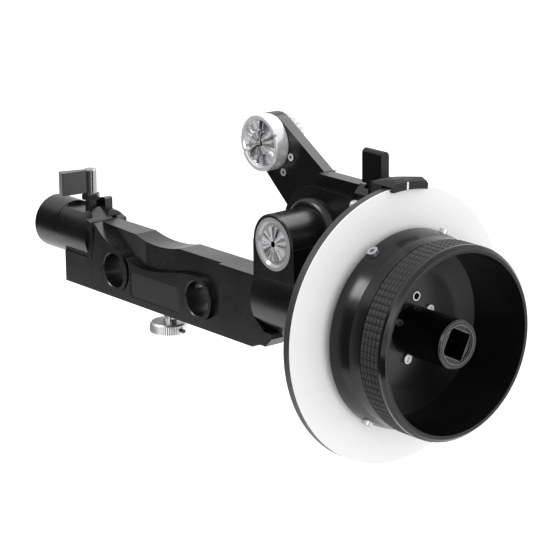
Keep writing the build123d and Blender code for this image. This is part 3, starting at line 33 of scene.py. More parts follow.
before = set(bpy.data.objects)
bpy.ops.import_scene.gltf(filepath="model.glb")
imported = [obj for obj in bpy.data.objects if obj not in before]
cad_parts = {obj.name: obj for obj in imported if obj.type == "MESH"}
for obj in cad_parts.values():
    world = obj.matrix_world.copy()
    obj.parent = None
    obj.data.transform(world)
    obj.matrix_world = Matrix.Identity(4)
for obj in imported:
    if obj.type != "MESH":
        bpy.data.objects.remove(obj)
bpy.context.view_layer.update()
MM = 0.001

bl_info = {
    "name": "Follow Focus Unit",
    "version": (1, 0, 0),
    "blender": (4, 5, 0),
    "location": "View3D > Sidebar > Follow Focus",
    "description": "Dresses a packed follow focus unit with its finishes and fine pieces",
    "category": "Object",
}

WHEEL_AXIS = Vector((0, 17.6, 9.55)) * MM      # hand wheel, marking disk, gearbox: along X
OUTPUT_AXIS = Vector((80.3, 0, 33.95)) * MM    # front socket, drive gear, arm: along Y
LEVER_AXIS = Vector((-61.4, 11.0, 0)) * MM     # clamp lever: along Z
THUMB_AXIS = Vector((0, 7.7, 0)) * MM          # thumb screw: along Z
ARM_TURN = radians(139)                        # direction of the lens drum from the arm's pivot
LENS_REACH = 49.2 * MM
LENS_AXIS = OUTPUT_AXIS + LENS_REACH * Vector((cos(ARM_TURN), 0, sin(ARM_TURN)))
TURNS = {"X": (0, 0, 0), "Y": (0, 0, -pi / 2), "Z": (0, pi / 2, 0)}  # turn an axis onto X

# Floor of the hand wheel's cup, where a painted highlight lies in two fans on the spun metal
FLOOR_FRONT = 145.3 * MM                       # just in front of the floor
FLOOR_RADIUS = 35.1 * MM
FAN_TURN = radians(25)                         # middle of the fans
FAN_STEP = (23.5 * MM, 25.5 * MM)              # radii between which the painted fan highlight grows brighter
FAN_INNER = 0.45                               # share of its brightness inside that step
# grey of the painted highlight in the fans
FAN_HIGHLIGHT_GREY = (0.055, 0.055, 0.056)

# Grip band
GRIP_SEAT = 37.35 * MM                         # radius of the seat it folds in to
GRIP_MARGIN = 0.45 * MM                        # plain edge at each end
GRIP_BEVEL = 0.12 * MM
GROOVE_DEPTHS = (38.55 * MM, 39.1 * MM)        # radii between which the painted groove shade fades and the rubber turns lighter
GROOVE_SHADE = 0.08
SAME_PLACE = 1e-6                              # metres

# Relief and patterns of the finishes
GRAIN_RELIEF = 0.03 * MM
TURNING_RELIEF = 0.02 * MM
WEAR_HIGHLIGHT_FROM, WEAR_HIGHLIGHT_TO = 0.995, 0.80               # cosines between which an edge turns lighter, for wear and painted edge highlight
UNEVEN_SCALE = 45.0                            # of the slow unevenness, per metre
RING_STEP = 1.37                               # rings on faces across the axis, a little finer
# each wave of the painted sheen sectors: how many round the axis, its shift and its share
SECTOR_WAVES = ((2, 0.7, 0.22), (5, 1.9, 0.24), (11, 0.4, 0.26), (17, 2.6, 0.2))
SECTOR_MEAN = 0.62
# painted shade in the centre hole of the drum, the hub and the socket
HOLE_SHADE_BLACK = (0.003, 0.003, 0.003)
SOCKET_SHADE_BLACK = (0.004, 0.004, 0.004)
SOCKET_DEPTHS = (0.3 * MM, 0.5 * MM)           # depths between which a screw's socket turns black with painted shade

# Stage: lamps by place, target and size, and cards by place, size and turn, in metres
LAMPS = {
    "top_light": ((-0.1, 1.0, 1.3), (0.05, 0.02, 0.0), 1.2),
    "side_light": ((1.2, -0.5, 0.35), (0.14, 0.0, 0.0), 0.7),
    "front_light": ((-0.45, -0.9, 1.0), (0.05, 0.0, 0.03), 0.5),
}
CARD_LIFT = 1 * MM                             # the cloth lies this far above the floor
CARDS = {
    "dark_card": ((-0.5, -0.42, 0.14), (1.5, 0.5, 0), (pi / 2, 0, radians(130))),
    "dark_cloth": ((-0.35, -0.82, None), (1.9, 1.3, 0), (0, 0, 0)),
}
FLOOR_SIZE = 12
FLOOR_GLOW = 0.2
VIEW_AZIMUTH = radians(50.56)
VIEW_ELEVATION = radians(15.87)
VIEW_ROLL = radians(-0.52)
VIEW_SHIFT = (54.79 * MM, 1.96 * MM)           # of the camera, to the right and up
VIEW_DISTANCE = 1050.4 * MM


# ---------------------------------------------------------------- settings


class FinishSettings(bpy.types.PropertyGroup):
    """Colours of the object's finishes."""

    black: bpy.props.FloatVectorProperty(
        name="Anodised black", description="Colour of the bridge, gearbox and arm",
        default=(0.0035, 0.0035, 0.0037), size=3, subtype="COLOR", min=0, max=1)
    wheel_black: bpy.props.FloatVectorProperty(
        name="Wheel black", description="Colour of the hand wheel's turned body",
        default=(0.002, 0.002, 0.002), size=3, subtype="COLOR", min=0, max=1)
    rubber: bpy.props.FloatVectorProperty(
        name="Grip rubber", description="Colour of the knurled grip band",
        default=(0.03, 0.03, 0.03), size=3, subtype="COLOR", min=0, max=1)
    disk_white: bpy.props.FloatVectorProperty(
        name="Disk white", description="Colour of the marking disk",
        default=(0.84, 0.84, 0.84), size=3, subtype="COLOR", min=0, max=1)
    steel: bpy.props.FloatVectorProperty(
        name="Steel", description="Colour of turned and ground steel",
        default=(0.62, 0.62, 0.63), size=3, subtype="COLOR", min=0, max=1)
    bright: bpy.props.FloatVectorProperty(
        name="Polished metal", description="Colour of the lens drum and the front socket",
        default=(0.86, 0.86, 0.87), size=3, subtype="COLOR", min=0, max=1)


class GripSettings(bpy.types.PropertyGroup):
    """Knurled grip band of the hand wheel."""

    around: bpy.props.IntProperty(
        name="Cells around", description="Raised cells round the grip band",
        default=88, min=24, max=200)
    rows: bpy.props.IntProperty(
        name="Rows", description="Rows of cells across the band", default=5, min=1, max=12)
    height: bpy.props.FloatProperty(
        name="Cell height", description="How far a cell stands out of its grooves",
        default=0.7 * MM, min=0, max=2 * MM, subtype="DISTANCE", unit="LENGTH")
    groove: bpy.props.FloatProperty(
        name="Groove", description="Half width of the sloping groove between two cells",
        default=0.6 * MM, min=0.1 * MM, max=1.2 * MM, subtype="DISTANCE", unit="LENGTH")


class StageSettings(bpy.types.PropertyGroup):
    """Floor, light and camera."""

    floor_drop: bpy.props.FloatProperty(
        name="Floor height", description="Height of the floor under the object",
        default=-110 * MM, subtype="DISTANCE", unit="LENGTH")
    world_strength: bpy.props.FloatProperty(
        name="Ambient light", description="Strength of the even light from all round",
        default=1.0, min=0, max=4)
    top_power: bpy.props.FloatProperty(
        name="Top light", description="Power of the large soft light above and behind",
        default=11.0, min=0, max=200, unit="POWER")
    side_power: bpy.props.FloatProperty(
        name="Side light", description="Power of the soft light that faces the marking disk",
        default=3.5, min=0, max=200, unit="POWER")
    front_power: bpy.props.FloatProperty(
        name="Front light", description="Power of the soft light high at the front left",
        default=8.0, min=0, max=200, unit="POWER")
    card_grey: bpy.props.FloatProperty(
        name="Dark card", description="Grey of the card that stands out of view at the front left",
        default=0.06, min=0, max=1)
    lens: bpy.props.FloatProperty(
        name="Focal length", description="Camera focal length in millimetres",
        default=155.5, min=20, max=400, unit="CAMERA")


# ---------------------------------------------------------------- mesh tools


def deselect():
    """Leave edit mode and deselect every object."""
    if bpy.context.object and bpy.context.object.mode != "OBJECT":
        bpy.ops.object.mode_set(mode="OBJECT")
    bpy.ops.object.select_all(action="DESELECT")


def activate(piece):
    """Select one object only."""
    deselect()
    piece.select_set(True)
    bpy.context.view_layer.objects.active = piece


def named(name):
    """Name the object a primitive operator has just made."""
    piece = bpy.context.object
    piece.name = name
    piece.data.name = name
    return piece


def set_in_mesh(piece):
    """Put the piece's place, turn and scale into its mesh."""
    activate(piece)
    bpy.ops.object.transform_apply(location=True, rotation=True, scale=True)


def apply_modifier(piece, kind, **values):
    """Add a modifier, set it and apply it."""
    activate(piece)
    modifier = piece.modifiers.new(kind.title(), kind)
    for key, value in values.items():
        setattr(modifier, key, value)
    bpy.ops.object.modifier_apply(modifier=modifier.name)


def smooth(piece, degrees=32):
    """Smooth shading, broken at sharp edges."""
    activate(piece)
    bpy.ops.object.shade_smooth_by_angle(angle=radians(degrees))


def finish_piece(piece, body, material):
    """Give a new piece its material and its body."""
    piece.data.materials.clear()
    piece.data.materials.append(material)
    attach(piece, body)


# ---------------------------------------------------------------- shader node groups


def link(tree, source, target):
    """Link an output socket to an input socket."""
    tree.links.new(source, target)


def feed(tree, value, target):
    """Link a socket to an input, or set the input to a plain value."""
    if isinstance(value, bpy.types.NodeSocket):
        link(tree, value, target)
    else:
        target.default_value = value


def new_group(name, inputs, outputs):
    """Shader node group with float, vector or colour sockets."""
    tree = bpy.data.node_groups.new(name, "ShaderNodeTree")
    kinds = {"value": "NodeSocketFloat", "vector": "NodeSocketVector", "colour": "NodeSocketColor"}
    for label, kind, default in inputs:
        socket = tree.interface.new_socket(name=label, in_out="INPUT", socket_type=kinds[kind])
        if default is not None:
            socket.default_value = default
    for label, kind in outputs:
        tree.interface.new_socket(name=label, in_out="OUTPUT", socket_type=kinds[kind])
    return tree, tree.nodes.new("NodeGroupInput"), tree.nodes.new("NodeGroupOutput")


def group_use(tree, group, **values):
    """Place a group in a material with its own values."""
    node = tree.nodes.new("ShaderNodeGroup")
    node.node_tree = group
    for label, value in values.items():
        node.inputs[label.replace("_", " ")].default_value = value
    return node


def math_node(tree, operation, first, second=None, clamp=False):
    """Math node; first and second are sockets or numbers."""
    node = tree.nodes.new("ShaderNodeMath")
    node.operation = operation
    node.use_clamp = clamp
    feed(tree, first, node.inputs[0])
    if second is not None:
        feed(tree, second, node.inputs[1])
    return node.outputs[0]


def mixed(tree, kind, mask, first, second):
    """Goes from first to second as the mask goes from 0 to 1; kind is "RGBA" or "FLOAT"."""
    mix = tree.nodes.new("ShaderNodeMix")
    mix.data_type = kind
    link(tree, mask, mix.inputs["Factor"])
    for label, value in (("A", first), ("B", second)):
        is_colour = kind == "RGBA" and not isinstance(value, bpy.types.NodeSocket)
        feed(tree, (*value, 1) if is_colour else value, mix.inputs[label])
    return mix.outputs["Result"]


def on_axis(tree, centre, turn):
    """Object place measured from a centre, with an axis turned onto X: a Separate XYZ node."""
    place = tree.nodes.new("ShaderNodeTexCoord")
    centred = tree.nodes.new("ShaderNodeVectorMath")
    centred.operation = "SUBTRACT"
    link(tree, place.outputs["Object"], centred.inputs[0])
    feed(tree, centre, centred.inputs[1])
    turned_place = tree.nodes.new("ShaderNodeVectorRotate")
    turned_place.rotation_type = "EULER_XYZ"
    link(tree, centred.outputs["Vector"], turned_place.inputs["Vector"])
    feed(tree, turn, turned_place.inputs["Rotation"])
    apart = tree.nodes.new("ShaderNodeSeparateXYZ")
    link(tree, turned_place.outputs["Vector"], apart.inputs["Vector"])
    return apart


def axis_distance(tree, apart):
    """Distance from the axis."""
    across = math_node(tree, "MULTIPLY", apart.outputs["Y"], apart.outputs["Y"])
    upward = math_node(tree, "MULTIPLY", apart.outputs["Z"], apart.outputs["Z"])
    return math_node(tree, "SQRT", math_node(tree, "ADD", across, upward))


def axis_angle(tree, apart):
    """Angle round the axis."""
    return math_node(tree, "ARCTAN2", apart.outputs["Z"], apart.outputs["Y"])


def seen_rays(tree):
    """1 for what the camera sees itself, in a reflection or through glass."""
    path = tree.nodes.new("ShaderNodeLightPath")
    seen = math_node(tree, "MAXIMUM", path.outputs["Is Camera Ray"], path.outputs["Is Glossy Ray"])
    return math_node(tree, "MAXIMUM", seen, path.outputs["Is Transmission Ray"])


def relief(tree, height, strength, distance):
    """Normal of a bump."""
    bump = tree.nodes.new("ShaderNodeBump")
    bump.inputs["Distance"].default_value = distance
    link(tree, strength, bump.inputs["Strength"])
    link(tree, height, bump.inputs["Height"])
    return bump.outputs["Normal"]


def make_edge_wear_and_highlight():
    """Mask that is 1 on rounded-over edges, for wear and painted edge highlight: compares a
    bevelled normal with the true one.
    """
    tree, start, end = new_group("edge_wear_and_highlight", [("Width", "value", 0.4 * MM)], [("Mask", "value")])
    bevel = tree.nodes.new("ShaderNodeBevel")
    bevel.samples = 6
    link(tree, start.outputs["Width"], bevel.inputs["Radius"])
    geometry = tree.nodes.new("ShaderNodeNewGeometry")
    dot = tree.nodes.new("ShaderNodeVectorMath")
    dot.operation = "DOT_PRODUCT"
    link(tree, bevel.outputs["Normal"], dot.inputs[0])
    link(tree, geometry.outputs["True Normal"], dot.inputs[1])
    link(tree, value_range(tree, dot.outputs["Value"], 0, 1, WEAR_HIGHLIGHT_FROM, WEAR_HIGHLIGHT_TO),
         end.inputs["Mask"])
    return tree


def make_blast_grain():
    """Fine bead-blasted grain with a slow unevenness, on Object coordinates in metres."""
    tree, start, end = new_group(
        "blast_grain",
        [("Grain size", "value", 0.25 * MM), ("Strength", "value", 0.15)],
        [("Normal", "vector"), ("Unevenness", "value")])
    place = tree.nodes.new("ShaderNodeTexCoord")
    grain = tree.nodes.new("ShaderNodeTexNoise")
    grain.inputs["Detail"].default_value = 2.0
    link(tree, place.outputs["Object"], grain.inputs["Vector"])
    link(tree, math_node(tree, "DIVIDE", 1.0, start.outputs["Grain size"]), grain.inputs["Scale"])
    link(tree, relief(tree, grain.outputs["Fac"], start.outputs["Strength"], GRAIN_RELIEF),
         end.inputs["Normal"])
    slow = tree.nodes.new("ShaderNodeTexNoise")
    slow.inputs["Scale"].default_value = UNEVEN_SCALE
    slow.inputs["Detail"].default_value = 4.0
    link(tree, place.outputs["Object"], slow.inputs["Vector"])
    link(tree, slow.outputs["Fac"], end.inputs["Unevenness"])
    return tree


def make_turning_lines():
    """Fine circular tool marks round an axis: lines that depend on radius and on place along it."""
    tree, start, end = new_group(
        "turning_lines",
        [("Centre", "vector", None), ("Axis turn", "vector", None), ("Pitch", "value", 0.25 * MM),
         ("Strength", "value", 0.2)],
        [("Normal", "vector"), ("Lines", "value")])
    apart = on_axis(tree, start.outputs["Centre"], start.outputs["Axis turn"])
    outward = math_node(tree, "MULTIPLY", axis_distance(tree, apart), RING_STEP)
    along = math_node(tree, "ADD", outward, apart.outputs["X"])
    lines = tree.nodes.new("ShaderNodeTexNoise")
    lines.noise_dimensions = "1D"
    lines.inputs["Detail"].default_value = 3.0
    lines.inputs["Scale"].default_value = 1.0
    link(tree, math_node(tree, "DIVIDE", along, start.outputs["Pitch"]), lines.inputs["W"])
    link(tree, relief(tree, lines.outputs["Fac"], start.outputs["Strength"], TURNING_RELIEF),
         end.inputs["Normal"])
    link(tree, lines.outputs["Fac"], end.inputs["Lines"])
    return tree


def make_painted_sheen_sectors():
    """Painted highlight and painted dark reflection in sectors of spun metal out to a reach, plain
    beyond, painted shade black in the hole.
    """
    tree, start, end = new_group(
        "painted_sheen_sectors",
        [("Centre", "vector", None), ("Axis turn", "vector", None), ("Hole", "value", 1 * MM),
         ("Reach", "value", 7 * MM), ("Plain", "value", 0.8)],
        [("Mask", "value"), ("Open", "value")])
    apart = on_axis(tree, start.outputs["Centre"], start.outputs["Axis turn"])
    angle = axis_angle(tree, apart)
    total = SECTOR_MEAN
    for waves, shift, share in SECTOR_WAVES:
        turn = math_node(tree, "ADD", math_node(tree, "MULTIPLY", angle, waves), shift)
        wave = math_node(tree, "MULTIPLY", math_node(tree, "SINE", turn), share)
        total = math_node(tree, "ADD", wave, total)
    sectors = math_node(tree, "MULTIPLY", total, 1.0, clamp=True)
    away = axis_distance(tree, apart)
    beyond = math_node(tree, "GREATER_THAN", away, start.outputs["Reach"])
    link(tree, mixed(tree, "FLOAT", beyond, sectors, start.outputs["Plain"]), end.inputs["Mask"])
    link(tree, math_node(tree, "GREATER_THAN", away, start.outputs["Hole"]), end.inputs["Open"])
    return tree


GROUPS = {}
MATERIALS = {}


def group(name):
    """The shared shader group of that name, built once."""
    makers = {"edge_wear_and_highlight": make_edge_wear_and_highlight, "blast_grain": make_blast_grain,
              "turning_lines": make_turning_lines, "painted_sheen_sectors": make_painted_sheen_sectors}
    if name not in GROUPS:
        GROUPS[name] = makers[name]()
    return GROUPS[name]


def grey(level):
    """Colour of an even grey."""
    return (level, level, level)


def shaded(colour, share):
    """A colour made darker."""
    return tuple(share * part for part in colour)


def value_range(tree, value, low, high, from_low=0.3, from_high=0.7):
    """Spread a value, by default a noise, over a range from low to high."""
    node = tree.nodes.new("ShaderNodeMapRange")
    node.inputs["From Min"].default_value = from_low
    node.inputs["From Max"].default_value = from_high
    node.inputs["To Min"].default_value = low
    node.inputs["To Max"].default_value = high
    link(tree, value, node.inputs["Value"])
    return node.outputs["Result"]


def new_material(name, **sockets):
    """Principled material with constant sockets set directly."""
    material = bpy.data.materials.new(name)
    material.use_nodes = True
    shader = material.node_tree.nodes["Principled BSDF"]
    for label, value in sockets.items():
        shader.inputs[label.replace("_", " ")].default_value = value
    return material, material.node_tree, shader


def blasted(name, colour, worn_and_lit, roughness, specular, grain=0.25 * MM, bump=0.15, wear_and_highlight=0.35,
            edge=0.4 * MM, metallic=0.0):
    """Blasted and dyed metal or moulded plastic: grain, slow unevenness and lighter edges from wear
    and painted edge highlight.
    """
    if name in MATERIALS:
        return MATERIALS[name]
    material, tree, shader = new_material(name, Metallic=metallic, Specular_IOR_Level=specular)
    surface = group_use(tree, group("blast_grain"), Grain_size=grain, Strength=bump)
    edges = group_use(tree, group("edge_wear_and_highlight"), Width=edge)
    # lighter edges: partly wear, partly painted edge highlight
    mask = math_node(tree, "MULTIPLY", edges.outputs["Mask"], wear_and_highlight)
    link(tree, mixed(tree, "RGBA", mask, colour, worn_and_lit), shader.inputs["Base Color"])
    uneven = value_range(tree, surface.outputs["Unevenness"], roughness - 0.04, roughness + 0.05)
    link(tree, uneven, shader.inputs["Roughness"])
    link(tree, surface.outputs["Normal"], shader.inputs["Normal"])
    MATERIALS[name] = material
    return material


def turned(name, colour, dark, roughness, centre, axis, pitch=0.25 * MM, bump=0.2, metallic=1.0,
           specular=0.5):
    """Turned metal: circular tool marks round an axis, "X", "Y" or "Z"."""
    if name in MATERIALS:
        return MATERIALS[name]
    material, tree, shader = new_material(name, Metallic=metallic, Specular_IOR_Level=specular)
    marks = group_use(tree, group("turning_lines"), Centre=centre, Axis_turn=TURNS[axis],
                      Pitch=pitch, Strength=bump)
    lines = marks.outputs["Lines"]
    link(tree, mixed(tree, "RGBA", lines, dark, colour), shader.inputs["Base Color"])
    link(tree, value_range(tree, lines, roughness + 0.05, roughness - 0.03),
         shader.inputs["Roughness"])
    link(tree, marks.outputs["Normal"], shader.inputs["Normal"])
    MATERIALS[name] = material
    return material


# ---------------------------------------------------------------- finishes by node


def settings():
    """The scene's finish, grip and stage settings."""
    scene = bpy.context.scene
    return scene.follow_finish, scene.follow_grip, scene.follow_stage


def paint(nodes, material):
    """Give CAD nodes a material, leaving their meshes as they are."""
    for node in nodes.split():
        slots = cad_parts[node].data.materials
        slots.clear()
        slots.append(material)


def anodised():
    """Satin black anodising of the large milled pieces."""
    finish = settings()[0]
    return blasted("anodised_black", tuple(finish.black), (0.05, 0.05, 0.052), 0.27, 0.45)


def wheel_black():
    """Turned black; the spun floor of the cup has a painted highlight in two opposite fans round
    its axis.
    """
    material = turned("turned_black", tuple(settings()[0].wheel_black), grey(0.006), 0.2,
                      WHEEL_AXIS, "X", pitch=0.4 * MM, bump=0.05, metallic=0.0, specular=0.3)
    tree = material.node_tree
    colour = tree.nodes["Principled BSDF"].inputs["Base Color"]
    apart = on_axis(tree, WHEEL_AXIS, TURNS["X"])
    away = axis_distance(tree, apart)
    fan = math_node(tree, "COSINE", math_node(tree, "SUBTRACT", axis_angle(tree, apart), FAN_TURN))
    fan = math_node(tree, "MULTIPLY", fan, fan)
    on_floor = math_node(tree, "MULTIPLY", math_node(tree, "LESS_THAN", away, FLOOR_RADIUS),
                         math_node(tree, "LESS_THAN", apart.outputs["X"], FLOOR_FRONT))
    bright = value_range(tree, away, FAN_INNER, 1.0, *FAN_STEP)
    # painted highlight: the floor's base colour turns lighter in two fans, in place of the spun
    # metal's reflection
    mask = math_node(tree, "MULTIPLY", math_node(tree, "MULTIPLY", fan, bright), on_floor)
    plain = colour.links[0].from_socket
    link(tree, mixed(tree, "RGBA", mask, plain, FAN_HIGHLIGHT_GREY), colour)
    return material


def turned_steel(name, centre, axis):
    """Turned and ground steel."""
    steel = tuple(settings()[0].steel)
    return turned(name, steel, shaded(steel, 0.8), 0.28, centre, axis)


def spun(name, dark, centre, metallic, hole, reach, plain):
    """Bright spun metal along Y: painted highlight and painted dark reflection in sectors out to a
    reach, painted shade black in its hole.
    """
    material, tree, shader = new_material(name, Metallic=metallic, Roughness=0.18)
    sectors = group_use(tree, group("painted_sheen_sectors"), Centre=centre, Axis_turn=TURNS["Y"],
                        Hole=hole, Reach=reach, Plain=plain)
    bright = tuple(settings()[0].bright)
    # painted sheen: dark and bright sectors round the axis stand in for the turned metal's
    # reflections
    metal = mixed(tree, "RGBA", sectors.outputs["Mask"], grey(dark), bright)
    # painted shade: the centre hole is coloured black
    link(tree, mixed(tree, "RGBA", sectors.outputs["Open"], HOLE_SHADE_BLACK, metal),
         shader.inputs["Base Color"])
    marks = group_use(tree, group("turning_lines"), Centre=centre, Axis_turn=TURNS["Y"],
                      Pitch=0.2 * MM, Strength=0.1)
    link(tree, marks.outputs["Normal"], shader.inputs["Normal"])
    return material


def socket_screw(name, front):
    """Bright screw steel with painted shade: it turns black down its socket, behind a front that
    faces -Y.
    """
    material, tree, shader = new_material(name, Metallic=0.4, Roughness=0.25)
    place = tree.nodes.new("ShaderNodeTexCoord")
    apart = tree.nodes.new("ShaderNodeSeparateXYZ")
    link(tree, place.outputs["Object"], apart.inputs["Vector"])
    depth = value_range(tree, apart.outputs["Y"], 0, 1, *(front + deep for deep in SOCKET_DEPTHS))
    # painted shade: black down the socket by depth
    link(tree, mixed(tree, "RGBA", depth, grey(0.72), SOCKET_SHADE_BLACK), shader.inputs["Base Color"])
    grain = group_use(tree, group("blast_grain"), Grain_size=0.2 * MM, Strength=0.03)
    link(tree, grain.outputs["Normal"], shader.inputs["Normal"])
    return material


# ---------------------------------------------------------------- operators


class FOLLOW_OT_bridge(bpy.types.Operator):
    """Finish the bridge, gearbox, pivot plate and end housing."""

    bl_idname = "follow.bridge"
    bl_label = "Bridge and gearbox"

    def execute(self, context):
        paint("bridge_bar end_housing gearbox_housing end_cap pivot_plate lock_block lock_base",
              anodised())
        paint("name_plate", blasted("plate_dark", (0.011, 0.011, 0.0115), grey(0.1), 0.4, 0.4,
                                    grain=0.4 * MM, bump=0.1))
        paint("bar_screws cap_screws", blasted("black_oxide", grey(0.012), grey(0.12), 0.4, 0.5))
        paint("wheel_bearings bearing_spacer", turned_steel("bearing_steel", WHEEL_AXIS, "X"))
        bronze = blasted("oiled_bronze", (0.35, 0.22, 0.1), (0.5, 0.35, 0.18), 0.35, 0.5,
                         metallic=1.0)
        paint("cross_bushes output_bushes", bronze)
        return {"FINISHED"}


class FOLLOW_OT_gears(bpy.types.Operator):
    """Finish the gear train."""

    bl_idname = "follow.gears"
    bl_label = "Gear train"

    def execute(self, context):
        gear = blasted("gear_steel", (0.42, 0.42, 0.43), grey(0.75), 0.33, 0.5, metallic=1.0,
                       grain=0.2 * MM, bump=0.1)
        paint("main_bevel cross_bevel cross_gear transfer_gear output_gear drive_gear "
              "first_idler second_idler", gear)
        paint("main_shaft", turned_steel("main_shaft_steel", WHEEL_AXIS, "X"))
        steel = turned_steel("output_steel", OUTPUT_AXIS, "Y")
        paint("cross_shaft output_shaft transfer_stud pivot_sleeve pivot_nut idler_studs", steel)
        pale = blasted("pale_gear", (0.8, 0.8, 0.78), (0.9, 0.9, 0.88), 0.45, 0.5, bump=0.05)
        paint("lens_gear", pale)
        return {"FINISHED"}


class FOLLOW_OT_arm(bpy.types.Operator):
    """Finish the swing arm, the lens drum and the front socket."""

    bl_idname = "follow.arm"
    bl_label = "Swing arm and drives"

    def execute(self, context):
        paint("swing_arm", anodised())
        paint("lens_drum", spun("drum_bright", dark=0.1, centre=LENS_AXIS, metallic=0.45,
                                hole=0.5 * MM, reach=9.7 * MM, plain=0.95))
        paint("lens_hub", spun("lens_hub_bright", dark=0.02, centre=LENS_AXIS, metallic=0.5,
                               hole=1.6 * MM, reach=5.2 * MM, plain=0.8))
        paint("front_socket", spun("socket_bright", dark=0.12, centre=OUTPUT_AXIS, metallic=0.35,
                                   hole=1.25 * MM, reach=7.4 * MM, plain=0.42))
        paint("lens_shaft", turned_steel("lens_shaft_steel", LENS_AXIS, "Y"))
        paint("lens_bush", MATERIALS["oiled_bronze"])
        paint("plate_screw lock_pin", blasted("screw_steel", grey(0.7), grey(0.9), 0.3, 0.5,
                                              metallic=0.3, bump=0.03))
        paint("arm_screws", socket_screw("arm_screw_steel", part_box("arm_screws")[0].y))
        return {"FINISHED"}


class FOLLOW_OT_levers(bpy.types.Operator):
    """Finish the clamp lever, the lock lever, the thumb screw and the clamp bar."""

    bl_idname = "follow.levers"
    bl_label = "Levers and thumb screw"

    def execute(self, context):
        paint("lever_wing", blasted("lever_grey", (0.045, 0.045, 0.047), grey(0.2), 0.3, 0.5))
        paint("lever_hub", turned("lever_chrome", (0.34, 0.34, 0.35), grey(0.26), 0.14,
                                  LEVER_AXIS, "Z", pitch=0.3 * MM, bump=0.03))
        paint("lever_collar", blasted("collar_black", grey(0.012), grey(0.1), 0.3, 0.5))
        paint("lock_lever", blasted("lock_black", (0.0025, 0.0025, 0.0026), grey(0.02), 0.3, 0.3,
                                    bump=0.05))
        paint("thumb_wheel thumb_stem", turned("thumb_aluminium", grey(0.78), grey(0.66), 0.3,
                                               THUMB_AXIS, "Z"))
        paint("thumb_pins", MATERIALS["black_oxide"])
        paint("clamp_bar", MATERIALS["output_steel"])
        return {"FINISHED"}


